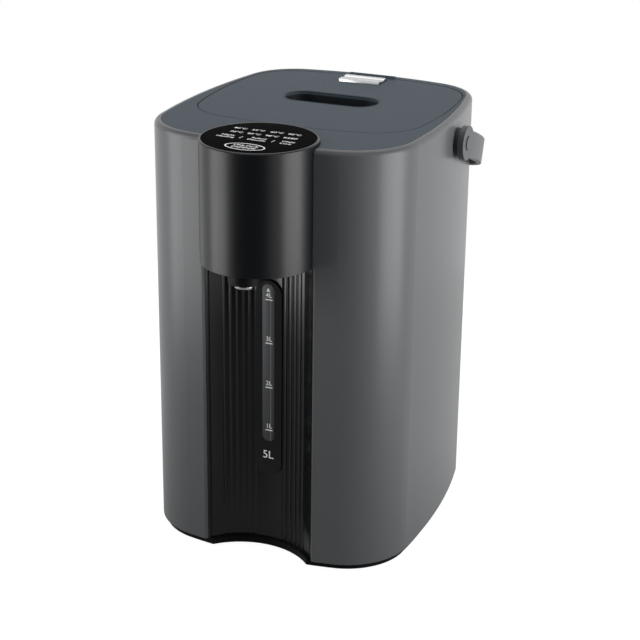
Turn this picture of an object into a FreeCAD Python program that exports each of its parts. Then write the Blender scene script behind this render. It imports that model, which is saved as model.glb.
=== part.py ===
import FreeCAD, Part
import math
import os
import Sketcher

# Electric thermo pot with a round control head over a cup recess, all sizes in millimetres.
# The rest plane is z = 0, the front faces -Y, and the origin is under the middle of the whole pot's box.
# Every driving size stands once in SIZES, goes into the sheet, and is bound to the model from there.
# OVER is how far a cutting shape runs past a face.

SIZES = {
    # Body outline in plan: four bulged sides and four rounded corners
    "body_y": -14.0,
    "body_half_width": 105.0,
    "front_reach": 98.0,
    "rear_reach": 141.0,
    "side_bulge": 505.0,
    "end_bulge": 318.0,
    "front_corner": 52.0,
    "rear_corner": 45.0,
    # Outer shell
    "shell_bottom": 6.0,
    "body_top": 330.0,
    "shell_wall": 2.0,
    "edge_round": 4.0,
    "lip_width": 5.0,
    "lip_thick": 2.5,
    "seam": 0.2,
    # Cup recess in the front
    "recess_radius": 57.3,
    "recess_ahead": 32.5,
    "recess_wall": 2.5,
    "ceiling_thick": 1.5,
    "flute_depth": 0.6,
    "flute_radius": 5.0,
    "flute_pitch": 5.2,
    "groove_place": 46.5,
    "groove_radius": 0.7,
    # Base
    "base_inset": 3.0,
    "base_bottom": 1.2,
    "base_floor": 2.5,
    "base_rim": 2.2,
    "spigot_rise": 8.0,
    "base_ledge": 2.5,
    "foot_radius": 9.0,
    "foot_pocket": 2.0,
    "foot_side_inset": 33.0,
    "foot_front_inset": 48.0,
    "foot_rear_x": 45.0,
    "foot_rear_inset": 20.0,
    # Control head
    "head_radius": 43.0,
    "head_setback": 49.5,
    "head_height": 90.5,
    "head_rise": 3.0,
    "head_wall": 2.0,
    "head_gap": 0.3,
    "head_ledge": 3.0,
    "glass_thick": 2.0,
    "glass_rim": 1.7,
    "board_thick": 1.6,
    # Water spout
    "spout_setback": 18.5,
    "spout_drop": 13.9,
    "spout_radius": 8.5,
    "spout_bore": 4.5,
    "tip_narrow": 2.4,
    "tip_rise": 3.0,
    "collar_radius": 12.2,
    "collar_drop": 9.3,
    "collar_wall": 2.0,
    "nozzle_seat": 3.0,
    "nozzle_rise": 16.0,
    # Level gauge in the recess wall
    "gauge_half_width": 10.75,
    "gauge_bottom": 62.0,
    "gauge_drop": 22.0,
    "gauge_stand": 2.0,
    "gauge_thick": 2.9,
    "lens_half_width": 5.0,
    "lens_bottom": 90.5,
    "lens_margin": 2.5,
    "lens_thick": 1.2,
    "lens_rim": 2.0,
    "sight_half_width": 3.2,
    "tube_radius": 4.0,
    "tube_bore": 3.0,
    "tube_setback": 9.4,
    # Water tank
    "tank_gap": 0.5,
    "tank_radius": 88.0,
    "tank_wall": 1.0,
    "tank_floor_z": 60.0,
    "tank_rim": 4.0,
    "jacket_thick": 2.0,
    "jacket_bottom": 70.0,
    "jacket_short": 9.2,
    "seal_thick": 1.8,
    "support_wall": 2.5,
    "support_inset": 3.0,
    "support_frame": 6.0,
    "window_half_width": 32.0,
    "window_bottom": 20.0,
    "inlet_clear": 4.0,
    "post_height": 14.0,
    "screw_length": 12.0,
    # Heater and its controls
    "warm_ring": 30.0,
    "heater_thick": 4.0,
    "element_section": 6.0,
    "element_inset": 8.0,
    "ring_step": 20.0,
    "thermostat_radius": 8.0,
    "thermostat_rise": 9.0,
    "sensor_radius": 4.0,
    "sensor_rise": 12.0,
    # Pump
    "pump_x": -15.0,
    "pump_inset": 18.5,
    "motor_radius": 14.0,
    "motor_top": 24.0,
    "housing_radius": 16.0,
    "housing_rise": 14.0,
    "housing_wall": 2.0,
    "rotor_radius": 12.0,
    "shaft_radius": 1.5,
    "port_bore": 3.0,
    "port_radius": 4.5,
    "port_rise": 6.0,
    "outlet_length": 4.0,
    "hose_wall": 1.5,
    "hose_bend": 4.6,
    # Lid outline in plan, and the lid
    "lid_clear": 6.0,
    "lid_half_width": 92.7,
    "lid_half_length": 86.0,
    "lid_side_bulge": 330.0,
    "lid_end_bulge": 300.0,
    "lid_corner": 38.0,
    "lid_gap": 0.6,
    "lid_top_thick": 2.5,
    "lid_skirt_inset": 1.2,
    "lid_wall": 2.0,
    "lid_depth": 18.0,
    "liner_thick": 2.5,
    "plug_gap": 3.5,
    "plug_depth": 32.0,
    "plug_wall": 2.5,
    "plate_thick": 0.8,
    "mouth_inset": 14.0,
    "well_wall": 2.0,
    "well_depth": 25.0,
    "gasket_near": 1.5,
    "gasket_far": 5.5,
    "gasket_air": 0.3,
    # Finger slot in the lid
    "slot_x": -1.5,
    "slot_setback": 2.5,
    "slot_length": 77.0,
    "slot_width": 32.0,
    "slot_depth": 15.5,
    "cup_wall": 1.5,
    "steam_radius": 6.0,
    # Lid latch
    "bolt_half_width": 14.0,
    "bolt_depth": 11.5,
    "bolt_thick": 3.0,
    "bolt_reach": 2.5,
    "bolt_gap": 0.3,
    "tab_rise": 7.5,
    "tab_thick": 3.0,
    # Lid hinge and the release lever over it
    "hinge_outside": 1.1,
    "hinge_depth": 0.8,
    "knuckle_radius": 2.6,
    "knuckle_half": 12.2,
    "knuckle_gap": 0.4,
    "hinge_half": 19.0,
    "pin_radius": 1.25,
    "pin_fit": 0.05,
    "lever_x": -2.0,
    "lever_half_width": 17.2,
    "lever_length": 17.5,
    "lever_hinge_gap": 9.1,
    "lever_sunk": 4.5,
    "lever_rise": 2.6,
    "lever_gap": 0.6,
    "lever_well": 4.0,
    "lever_well_wall": 1.5,
    "lever_pin_setback": 10.5,
    "lever_pin_depth": 2.5,
    "lever_pin_radius": 1.0,
    # Carrying handle
    "pivot_y": 27.0,
    "pivot_depth": 21.0,
    "boss_radius": 11.0,
    "boss_depth": 12.0,
    "ring_width": 1.2,
    "ring_depth": 0.8,
    "plate_radius": 9.0,
    "plate_depth": 8.0,
    "bail_outside": 7.2,
    "bail_gap": 0.3,
    "ear_thick": 4.5,
    "ear_radius": 13.0,
    "bail_tilt": 19.9,
    "bail_straight": 5.6,
    "bail_side_bend": 251.2,
    "bail_corner_bend": 66.5,
    "bail_back_bend": 211.3,
    "bail_depth": 126.3,
    "strap_thick": 3.5,
    "strap_height": 21.0,
    "strap_round": 1.2,
    "pivot_pin_radius": 3.0,
    "pivot_cap_radius": 5.5,
    "pivot_cap_thick": 0.8,
    # Mains inlet
    "inlet_half_width": 16.0,
    "inlet_bottom": 18.0,
    "inlet_top": 42.0,
    "inlet_depth": 10.0,
    "inlet_wall": 2.5,
    "inlet_stand": 0.3,
    # Boards and screws
    "screw_radius": 1.5,
    "screw_head": 3.0,
    "power_board_z": 12.0,
    "cable_radius": 2.5,
}

ORIGIN = FreeCAD.Vector(0, 0, 0)
UP = FreeCAD.Vector(0, 0, 1)
ROUND = 360.0
OVER = 1.0


class Size:
    """A number together with the sheet expression that gives it."""

    def __init__(self, value, text):
        self.value = value
        self.text = text

    def __add__(self, other):
        return joined(self, "+", other)

    def __radd__(self, other):
        return joined(other, "+", self)

    def __sub__(self, other):
        return joined(self, "-", other)

    def __rsub__(self, other):
        return joined(other, "-", self)

    def __mul__(self, other):
        return joined(self, "*", other)

    def __rmul__(self, other):
        return joined(other, "*", self)

    def __truediv__(self, other):
        return joined(self, "/", other)

    def __neg__(self):
        return joined(0, "-", self)


def number(size):
    """The plain number of a Size or of a number."""
    return size.value if isinstance(size, Size) else float(size)


def words(size):
    """The expression of a Size or of a number."""
    return size.text if isinstance(size, Size) else repr(float(size))


def joined(left, sign, right):
    """One Size from two sizes or numbers and the sign between them."""
    one, two = number(left), number(right)
    results = {"+": one + two, "-": one - two, "*": one * two, "/": one / two if two else 0.0}
    return Size(results[sign], "(" + words(left) + " " + sign + " " + words(right) + ")")


def root(size):
    """The square root of a Size."""
    return Size(math.sqrt(size.value), "sqrt(" + size.text + ")")


doc = FreeCAD.newDocument("thermo_pot")
sheet = doc.addObject("Spreadsheet::Sheet", "sizes")
for row, alias in enumerate(SIZES, start=1):
    sheet.set("A" + str(row), alias)
    sheet.setAlias("B" + str(row), alias)
for alias, amount in SIZES.items():
    sheet.set(alias, str(amount))
doc.recompute()
size = {alias: Size(amount, "sizes." + alias) for alias, amount in SIZES.items()}

nodes = {}


# Helpers that bind a property and set up solids

def bind(item, path, amount):
    """Ties one property of an object to its expression."""
    if isinstance(amount, Size):
        item.setExpression(path, amount.text)
    elif path.startswith("Placement.Base."):
        base = item.Placement.Base
        setattr(base, path[-1], float(amount))
        item.Placement.Base = base
    else:
        setattr(item, path, float(amount))


def keep(name, item):
    """Names a finished sub-part, which gives it a file."""
    item.Label = name
    nodes[name] = item
    return item


def place(item, x=0, y=0, z=0):
    """Puts an object at a bound place."""
    for axis, amount in zip("xyz", (x, y, z)):
        bind(item, "Placement.Base." + axis, amount)
    return item


def cylinder(radius, height, x=0, y=0, z=0, along="Z"):
    """A round bar from its low end, along Z, Y or X."""
    item = doc.addObject("Part::Cylinder", "bar")
    turns = {"Z": FreeCAD.Rotation(), "X": FreeCAD.Rotation(0, 90, 0), "Y": FreeCAD.Rotation(0, 0, -90)}
    item.Placement = FreeCAD.Placement(ORIGIN, turns[along])
    bind(item, "Radius", radius)
    bind(item, "Height", height)
    return place(item, x, y, z)


def tube(outer, inner, height, x=0, y=0, z=0, along="Z"):
    """A round tube from its low end."""
    return cut(cylinder(outer, height, x, y, z, along), cylinder(inner, height, x, y, z, along))


def box(x, y, z):
    """A block from pairs of its low and high places along each axis."""
    item = doc.addObject("Part::Box", "block")
    bind(item, "Length", x[1] - x[0])
    bind(item, "Width", y[1] - y[0])
    bind(item, "Height", z[1] - z[0])
    return place(item, x[0], y[0], z[0])


def upright_pill(half, y, z):
    """A block with round ends at its top and bottom, through from the low to the high place along Y."""
    deep = y[1] - y[0]
    low, high = z[0] + half, z[1] - half
    return fuse(box((-half, half), y, (low, high)), cylinder(half, deep, 0, y[0], low, "Y"),
                cylinder(half, deep, 0, y[0], high, "Y"))


def cut(base, *tools):
    """The base with every tool taken away."""
    item = doc.addObject("Part::Cut", "cut")
    item.Base = base
    item.Tool = tools[0] if len(tools) == 1 else fuse(*tools)
    return item


def fuse(*items):
    """Several solids joined in one."""
    if len(items) == 1:
        return items[0]
    item = doc.addObject("Part::MultiFuse", "fuse")
    item.Shapes = list(items)
    return item


def common(one, two):
    """What two solids share."""
    item = doc.addObject("Part::MultiCommon", "common")
    item.Shapes = [one, two]
    return item


def group(*items):
    """Separate solids kept in one node."""
    item = doc.addObject("Part::Compound", "group")
    item.Links = list(items)
    return item


# Helpers that draw sketches

def plane_of(body, role):
    """One of a body's own origin planes."""
    return next(item for item in body.Origin.OriginFeatures if item.Role == role)


def new_body(name):
    """An empty body that will be a named sub-part."""
    return keep(name, doc.addObject("PartDesign::Body", name))


def sketch_on(body, role, height=0):
    """A sketch on a body's origin plane, moved along the plane's normal."""
    sketch = body.newObject("Sketcher::SketchObject", "sketch")
    sketch.AttachmentSupport = [(plane_of(body, role), "")]
    sketch.MapMode = "FlatFace"
    if isinstance(height, Size):
        sketch.setExpression("AttachmentOffset.Base.z", height.text)
    else:
        sketch.AttachmentOffset = FreeCAD.Placement(FreeCAD.Vector(0, 0, height), FreeCAD.Rotation())
    return sketch


def fix(sketch, shape, point, x, y):
    """Holds one point of a sketch at a bound place."""
    for kind, axis, amount in (("DistanceX", -2, x), ("DistanceY", -1, y)):
        if abs(number(amount)) < 1e-9:
            sketch.addConstraint(Sketcher.Constraint("PointOnObject", shape, point, axis))
            continue
        index = sketch.addConstraint(Sketcher.Constraint(kind, -1, 1, shape, point, number(amount)))
        if isinstance(amount, Size):
            sketch.setExpression("Constraints[" + str(index) + "]", amount.text)


def polygon(sketch, corners):
    """A closed outline of straight lines with each corner held."""
    first = sketch.GeometryCount
    spots = [FreeCAD.Vector(number(x), number(y), 0) for x, y in corners]
    for index, spot in enumerate(spots):
        sketch.addGeometry(Part.LineSegment(spot, spots[(index + 1) % len(spots)]), False)
    for index, (x, y) in enumerate(corners):
        after = first + (index + 1) % len(corners)
        sketch.addConstraint(Sketcher.Constraint("Coincident", first + index, 2, after, 1))
        fix(sketch, first + index, 1, x, y)


def circle(sketch, x, y, radius):
    """A circle with its centre and radius held."""
    spot = FreeCAD.Vector(number(x), number(y), 0)
    index = sketch.addGeometry(Part.Circle(spot, UP, number(radius)), False)
    fix(sketch, index, 3, x, y)
    hold_radius(sketch, index, radius)


def hold_radius(sketch, shape, radius):
    """Holds the radius of a circle or an arc."""
    index = sketch.addConstraint(Sketcher.Constraint("Radius", shape, number(radius)))
    if isinstance(radius, Size):
        sketch.setExpression("Constraints[" + str(index) + "]", radius.text)


def rectangle(sketch, x, y):
    """A rectangle from its low and high places."""
    polygon(sketch, [(x[0], y[0]), (x[1], y[0]), (x[1], y[1]), (x[0], y[1])])


def stadium(sketch, x, y, length, width):
    """A slot along X with round ends about its centre."""
    reach = (length - width) / 2
    radius = width / 2
    spots = [(x + reach, y), (x - reach, y)]
    arcs = []
    for (spot_x, spot_y), start in zip(spots, (-math.pi / 2, math.pi / 2)):
        ring = Part.Circle(FreeCAD.Vector(number(spot_x), number(spot_y), 0), UP, number(radius))
        index = sketch.addGeometry(Part.ArcOfCircle(ring, start, start + math.pi), False)
        fix(sketch, index, 3, spot_x, spot_y)
        arcs.append(index)
    high, low = number(y + radius), number(y - radius)
    ends = (number(x + reach), number(x - reach))
    top = sketch.addGeometry(Part.LineSegment(
        FreeCAD.Vector(ends[0], high, 0), FreeCAD.Vector(ends[1], high, 0)), False)
    base = sketch.addGeometry(Part.LineSegment(
        FreeCAD.Vector(ends[1], low, 0), FreeCAD.Vector(ends[0], low, 0)), False)
    for one, two in ((arcs[0], top), (top, arcs[1]), (arcs[1], base), (base, arcs[0])):
        sketch.addConstraint(Sketcher.Constraint("Tangent", one, 2, two, 1))
    hold_radius(sketch, arcs[0], radius)


def corner_centre(flank, end, corner):
    """Centre of the corner circle that touches a flank circle and an end circle from inside."""
    (flank_x, flank_y, flank_radius), (end_x, end_y, end_radius) = flank, end
    near = flank_radius - corner
    far = end_radius - corner
    span = math.hypot(end_x - flank_x, end_y - flank_y)
    along = (near * near - far * far + span * span) / (2 * span)
    aside = math.sqrt(near * near - along * along)
    step_x = (end_x - flank_x) / span
    step_y = (end_y - flank_y) / span
    options = [(flank_x + along * step_x - sign * aside * step_y,
                flank_y + along * step_y + sign * aside * step_x) for sign in (1, -1)]
    return max(options, key=lambda spot: spot[0] ** 2 * math.copysign(1, spot[0] * -flank_x))


def body_outline(inset=0):
    """The eight arcs of the body's plan, moved inwards by an inset."""
    return {
        "middle_y": size["body_y"],
        "half_width": size["body_half_width"] - inset,
        "front": size["front_reach"] - inset,
        "rear": size["rear_reach"] - inset,
        "flank": size["side_bulge"] - inset,
        "end": size["end_bulge"] - inset,
        "front_corner": size["front_corner"] - inset,
        "rear_corner": size["rear_corner"] - inset,
    }


def lid_outline(inset=0):
    """The eight arcs of the lid's plan, moved inwards by an inset."""
    return {
        "middle_y": size["lid_y"],
        "half_width": size["lid_half_width"] - inset,
        "front": size["lid_half_length"] - inset,
        "rear": size["lid_half_length"] - inset,
        "flank": size["lid_side_bulge"] - inset,
        "end": size["lid_end_bulge"] - inset,
        "front_corner": size["lid_corner"] - inset,
        "rear_corner": size["lid_corner"] - inset,
    }


def draw_outline(sketch, plan):
    """Draws eight tangent arcs: bulged flanks and ends with round corners between them."""
    middle = plan["middle_y"]
    flank_x = plan["half_width"] - plan["flank"]
    rear_y = middle + plan["rear"] - plan["end"]
    front_y = middle - plan["front"] + plan["end"]
    sides = {
        "right": (flank_x, middle, plan["flank"]),
        "rear": (0, rear_y, plan["end"]),
        "left": (-flank_x, middle, plan["flank"]),
        "front": (0, front_y, plan["end"]),
    }
    plain = {name: tuple(number(part) for part in side) for name, side in sides.items()}
    order = [("right", "rear"), ("rear", "left"), ("left", "front"), ("front", "right")]
    corners = {}
    for one, two in order:
        flank, end = (one, two) if one in ("right", "left") else (two, one)
        radius = plan["rear_corner"] if end == "rear" else plan["front_corner"]
        x, y = corner_centre(plain[flank], plain[end], number(radius))
        corners[(one, two)] = (x, y, radius)
    turns = []
    for index, (one, two) in enumerate(order):
        before = corners[order[index - 1]]
        after = corners[(one, two)]
        side_x, side_y, side_radius = plain[one]
        start = math.atan2(before[1] - side_y, before[0] - side_x)
        finish = math.atan2(after[1] - side_y, after[0] - side_x)
        turns.append((plain[one], start, finish, sides[one], None))
        next_x, next_y, _ = plain[two]
        leave = math.atan2(after[1] - next_y, after[0] - next_x)
        turns.append(((after[0], after[1], number(after[2])), finish, leave, None, after[2]))
    shapes = []
    for (x, y, radius), start, finish, side, corner in turns:
        while finish <= start:
            finish += 2 * math.pi
        ring = Part.Circle(FreeCAD.Vector(x, y, 0), UP, radius)
        index = sketch.addGeometry(Part.ArcOfCircle(ring, start, finish), False)
        shapes.append((index, side, corner))
    for place_in_loop, (index, side, corner) in enumerate(shapes):
        after = shapes[(place_in_loop + 1) % len(shapes)][0]
        sketch.addConstraint(Sketcher.Constraint("Tangent", index, 2, after, 1))
        if side:
            fix(sketch, index, 3, side[0], side[1])
            hold_radius(sketch, index, side[2])
        else:
            hold_radius(sketch, index, corner)


def pad(body, sketch, length, middle=False, back=False):
    """Adds material from a sketch."""
    item = body.newObject("PartDesign::Pad", "pad")
    item.Profile = sketch
    item.Midplane = middle
    item.Reversed = back
    bind(item, "Length", length)
    return item


def pocket(body, sketch, length, back=True, middle=False):
    """Takes material away from a sketch, upwards unless back is False, and checks that it did."""
    doc.recompute()
    before = body.Shape.Volume
    item = body.newObject("PartDesign::Pocket", "pocket")
    item.Profile = sketch
    item.Midplane = middle
    item.Reversed = back
    bind(item, "Length", length)
    doc.recompute()
    if body.Shape.Volume >= before - 1e-6:
        raise ValueError("a pocket of " + body.Label + " takes nothing away")
    return item


def fillet_where(body, feature, radius, wanted):
    """Rounds the edges of a feature that a test picks out."""
    doc.recompute()
    names = ["Edge" + str(index) for index, edge in enumerate(feature.Shape.Edges, start=1) if wanted(edge)]
    item = body.newObject("PartDesign::Fillet", "fillet")
    item.Base = (feature, names)
    bind(item, "Radius", radius)
    doc.recompute()
    return item


def at_height(level):
    """A test for edges that lie flat at one height."""
    def test(edge):
        box_of = edge.BoundBox
        return abs(box_of.ZMin - level) < 1e-4 and abs(box_of.ZMax - level) < 1e-4
    return test


def turned(body, corners):
    """A solid of revolution about the body's own vertical axis."""
    sketch = sketch_on(body, "XZ_Plane")
    polygon(sketch, corners)
    item = body.newObject("PartDesign::Revolution", "turned")
    item.Profile = sketch
    item.ReferenceAxis = (sketch, ["V_Axis"])
    item.Angle = ROUND
    return item


def turned_body(name, corners, x=0, y=0):
    """A whole sub-part turned about a vertical axis at a bound place."""
    body = new_body(name)
    turned(body, corners)
    return place(body, x, y, 0)


def extruded(plan, low, high):
    """A block of a plan between two heights."""
    sketch = doc.addObject("Sketcher::SketchObject", "plan")
    draw_outline(sketch, plan)
    bind(sketch, "Placement.Base.z", low)
    item = doc.addObject("Part::Extrusion", "extrusion")
    item.Base = sketch
    item.DirMode = "Normal"
    item.Solid = True
    bind(item, "LengthFwd", high - low)
    return item


def hose(name, spots, outer, bore, bend):
    """A round hose along straight runs joined by bends, with its bore."""
    spots = [FreeCAD.Vector(*[number(part) for part in spot]) for spot in spots]
    edges = []
    start = spots[0]
    for index in range(1, len(spots) - 1):
        corner = spots[index]
        before = (corner - spots[index - 1]).normalize()
        after = (spots[index + 1] - corner).normalize()
        turn = before.getAngle(after)
        back = number(bend) * math.tan(turn / 2)
        enter = corner - before * back
        leave = corner + after * back
        inward = (after - before).normalize()
        middle = corner + inward * (number(bend) / math.cos(turn / 2) - number(bend))
        edges.append(Part.LineSegment(start, enter).toShape())
        edges.append(Part.Arc(enter, middle, leave).toShape())
        start = leave
    edges.append(Part.LineSegment(start, spots[-1]).toShape())
    path = Part.Wire(edges)
    first = (spots[1] - spots[0]).normalize()
    shapes = []
    for radius in (outer, bore):
        if number(radius) > 0:
            ring = Part.Wire([Part.makeCircle(number(radius), spots[0], first)])
            shapes.append(path.makePipeShell([ring], True, True))
    item = doc.addObject("Part::Feature", name)
    item.Shape = shapes[0].cut(shapes[1]) if len(shapes) > 1 else shapes[0]
    item.Placement = FreeCAD.Placement(ORIGIN, FreeCAD.Rotation())
    return keep(name, item)


# Places and sizes that follow from others

s = size
s["recess_y"] = s["body_y"] - s["front_reach"] - s["recess_ahead"]
s["head_top"] = s["body_top"] + s["head_rise"]
s["head_bottom"] = s["head_top"] - s["head_height"]
s["head_y"] = s["body_y"] - s["front_reach"] + s["head_setback"] - s["head_radius"]
s["spout_y"] = s["head_y"] - s["head_radius"] + s["spout_setback"]
s["spout_bottom"] = s["head_bottom"] - s["spout_drop"]
s["gauge_front_y"] = s["recess_y"] + s["recess_radius"] - s["gauge_stand"]
s["gauge_top"] = s["head_bottom"] - s["gauge_drop"]
s["lens_top"] = s["gauge_top"] - s["lens_margin"]
s["tube_y"] = s["gauge_front_y"] + s["tube_setback"]
s["foot_front_x"] = s["body_half_width"] - s["foot_side_inset"]
s["foot_front_y"] = s["body_y"] - s["front_reach"] + s["foot_front_inset"]
s["foot_rear_y"] = s["body_y"] + s["rear_reach"] - s["foot_rear_inset"]
s["tank_y"] = s["head_y"] + s["head_radius"] + s["jacket_thick"] + s["tank_radius"] + s["tank_gap"]
s["well_floor_z"] = s["body_top"] - s["well_depth"]
s["tank_top"] = s["well_floor_z"] - s["well_wall"] - s["seal_thick"]
s["jacket_top"] = s["tank_top"] - s["jacket_short"]
s["boil_ring"] = s["warm_ring"] + s["ring_step"]
s["heater_radius"] = s["boil_ring"] + s["element_inset"]
s["pump_y"] = s["tank_y"] - s["tank_radius"] + s["support_inset"] + s["support_wall"] + s["pump_inset"]
s["mouth_radius"] = s["tank_radius"] - s["mouth_inset"]
s["plug_radius"] = s["mouth_radius"] - s["plug_gap"]
s["gasket_inner"] = s["mouth_radius"] + s["gasket_near"]
s["gasket_outer"] = s["mouth_radius"] + s["gasket_far"]
s["lid_y"] = s["head_y"] + s["head_radius"] + s["lid_clear"] + s["lid_half_length"]
s["lid_bottom"] = s["body_top"] - s["lid_depth"]
s["plug_bottom"] = s["body_top"] - s["plug_depth"]
s["slot_y"] = s["lid_y"] + s["slot_setback"]
s["bolt_bottom"] = s["body_top"] - s["bolt_depth"]
s["hinge_y"] = s["lid_y"] + s["lid_half_length"] + s["hinge_outside"]
s["hinge_z"] = s["body_top"] - s["hinge_depth"]
s["lever_rear"] = s["hinge_y"] - s["lever_hinge_gap"]
s["lever_front"] = s["lever_rear"] - s["lever_length"]
s["lever_bottom"] = s["body_top"] - s["lever_sunk"]
s["lever_top"] = s["body_top"] + s["lever_rise"]
s["lever_pin_y"] = s["lever_front"] + s["lever_pin_setback"]
s["lever_pin_z"] = s["body_top"] - s["lever_pin_depth"]
s["pivot_z"] = s["body_top"] - s["pivot_depth"]
s["bail_half_width"] = s["body_half_width"] + s["bail_outside"]

# Heights and places that several sub-parts share

rear_face = s["body_y"] + s["rear_reach"]
inner_gap = s["shell_wall"] + s["seam"]
lip_under = s["body_top"] - s["lip_thick"]
panel_back = s["recess_radius"] + s["recess_wall"]
spigot_top = s["shell_bottom"] + s["spigot_rise"]
base_inside = s["base_bottom"] + s["base_floor"]
well_under = s["well_floor_z"] - s["well_wall"]
lid_under_top = s["body_top"] - s["lid_top_thick"]
liner_under = s["lid_bottom"] - s["liner_thick"]
glass_under = s["head_top"] - s["glass_thick"]
head_inner = s["head_radius"] - s["head_wall"]
ledge_under = glass_under - s["head_ledge"]
heater_under = s["tank_floor_z"] - s["heater_thick"]
element_under = heater_under - s["element_section"]
support_radius = s["tank_radius"] - s["support_inset"]
support_inner = support_radius - s["support_wall"]
housing_top = s["motor_top"] + s["housing_rise"]
outlet_z = s["motor_top"] + s["housing_rise"] / 2
bolt_top = s["bolt_bottom"] + s["bolt_thick"]
lid_front = s["lid_y"] - s["lid_half_length"]
well_front = lid_front - s["lid_gap"]
cup_front = s["slot_y"] - s["slot_width"] / 2
cup_floor = s["body_top"] - s["slot_depth"]
screw_ring = (support_inner - 1) / math.sqrt(2)
boss_face = s["bail_half_width"] - s["ear_thick"] - s["bail_gap"]
delivery_y = s["tube_y"] + 1.8
cable_x = 14
cable_y = s["tube_y"] + 3.8


def build_shell():
    """Painted outer shell: bulged tube with a rolled top lip and the cup recess."""
    body = new_body("outer_shell")
    low, high = s["shell_bottom"], s["body_top"]
    sketch = sketch_on(body, "XY_Plane", low)
    draw_outline(sketch, body_outline())
    block = pad(body, sketch, high - low)
    fillet_where(body, block, s["edge_round"], at_height(number(high)))
    sketch = sketch_on(body, "XY_Plane", low)
    draw_outline(sketch, body_outline(s["shell_wall"]))
    pocket(body, sketch, lip_under - low)
    sketch = sketch_on(body, "XY_Plane", lip_under)
    draw_outline(sketch, body_outline(s["lip_width"]))
    pocket(body, sketch, s["lip_thick"])
    sketch = sketch_on(body, "XY_Plane", low)
    circle(sketch, 0, s["recess_y"], s["recess_radius"])
    pocket(body, sketch, s["head_bottom"] - low)
    sketch = sketch_on(body, "XY_Plane", s["head_bottom"])
    circle(sketch, 0, s["head_y"], s["head_radius"] + s["head_gap"])
    pocket(body, sketch, high - s["head_bottom"])
    sketch = sketch_on(body, "YZ_Plane")
    circle(sketch, s["pivot_y"], s["pivot_z"], s["pivot_pin_radius"] + s["pin_fit"])
    pocket(body, sketch, s["body_half_width"] * 2, middle=True)
    sketch = sketch_on(body, "XZ_Plane", -rear_face - OVER)
    fit = s["seam"]
    rectangle(sketch, (-s["inlet_half_width"] - fit, s["inlet_half_width"] + fit),
              (s["inlet_bottom"] - fit, s["inlet_top"] + fit))
    pocket(body, sketch, s["inlet_depth"], back=True)


def build_base():
    """Base tray with its plinth, spigot, feet and screws."""
    low, floor, mid, high = s["base_bottom"], base_inside, s["shell_bottom"], spigot_top
    plinth = extruded(body_outline(s["base_inset"]), low, mid)
    spigot = extruded(body_outline(inner_gap), mid, high)
    inside = extruded(body_outline(inner_gap + s["base_rim"]), floor, high)
    rim = cylinder(panel_back + s["seam"] + s["base_rim"], high - low, 0, s["recess_y"], low)
    ledge = cylinder(s["recess_radius"] - s["base_ledge"], mid - low, 0, s["recess_y"], low)
    notch = cylinder(panel_back + s["seam"], high - mid, 0, s["recess_y"], mid)
    feet_at = [(s["foot_front_x"], s["foot_front_y"]), (s["foot_rear_x"], s["foot_rear_y"])]
    feet_at = [(x * side, y) for x, y in feet_at for side in (1, -1)]
    screws_at = [(screw_ring * a, s["tank_y"] + screw_ring * b) for a in (1, -1) for b in (1, -1)]
    head_rise = s["base_floor"] / 2
    pockets = [cylinder(s["foot_radius"], s["foot_pocket"], x, y, low) for x, y in feet_at]
    sinks = [cylinder(s["screw_head"] + s["seam"], head_rise, x, y, low) for x, y in screws_at]
    bores = [cylinder(s["screw_radius"] + s["seam"], s["base_floor"], x, y, low) for x, y in screws_at]
    keep("base_plate", cut(fuse(plinth, spigot), cut(inside, rim), ledge, notch, *pockets, *sinks, *bores))
    keep("rubber_feet", group(*[cylinder(s["foot_radius"], low + s["foot_pocket"], x, y, 0)
                                for x, y in feet_at]))
    shanks = [cylinder(s["screw_radius"], s["screw_length"], x, y, low) for x, y in screws_at]
    heads = [cylinder(s["screw_head"], head_rise, x, y, low) for x, y in screws_at]
    keep("base_screws", group(*[fuse(head, shank) for head, shank in zip(heads, shanks)]))


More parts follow.
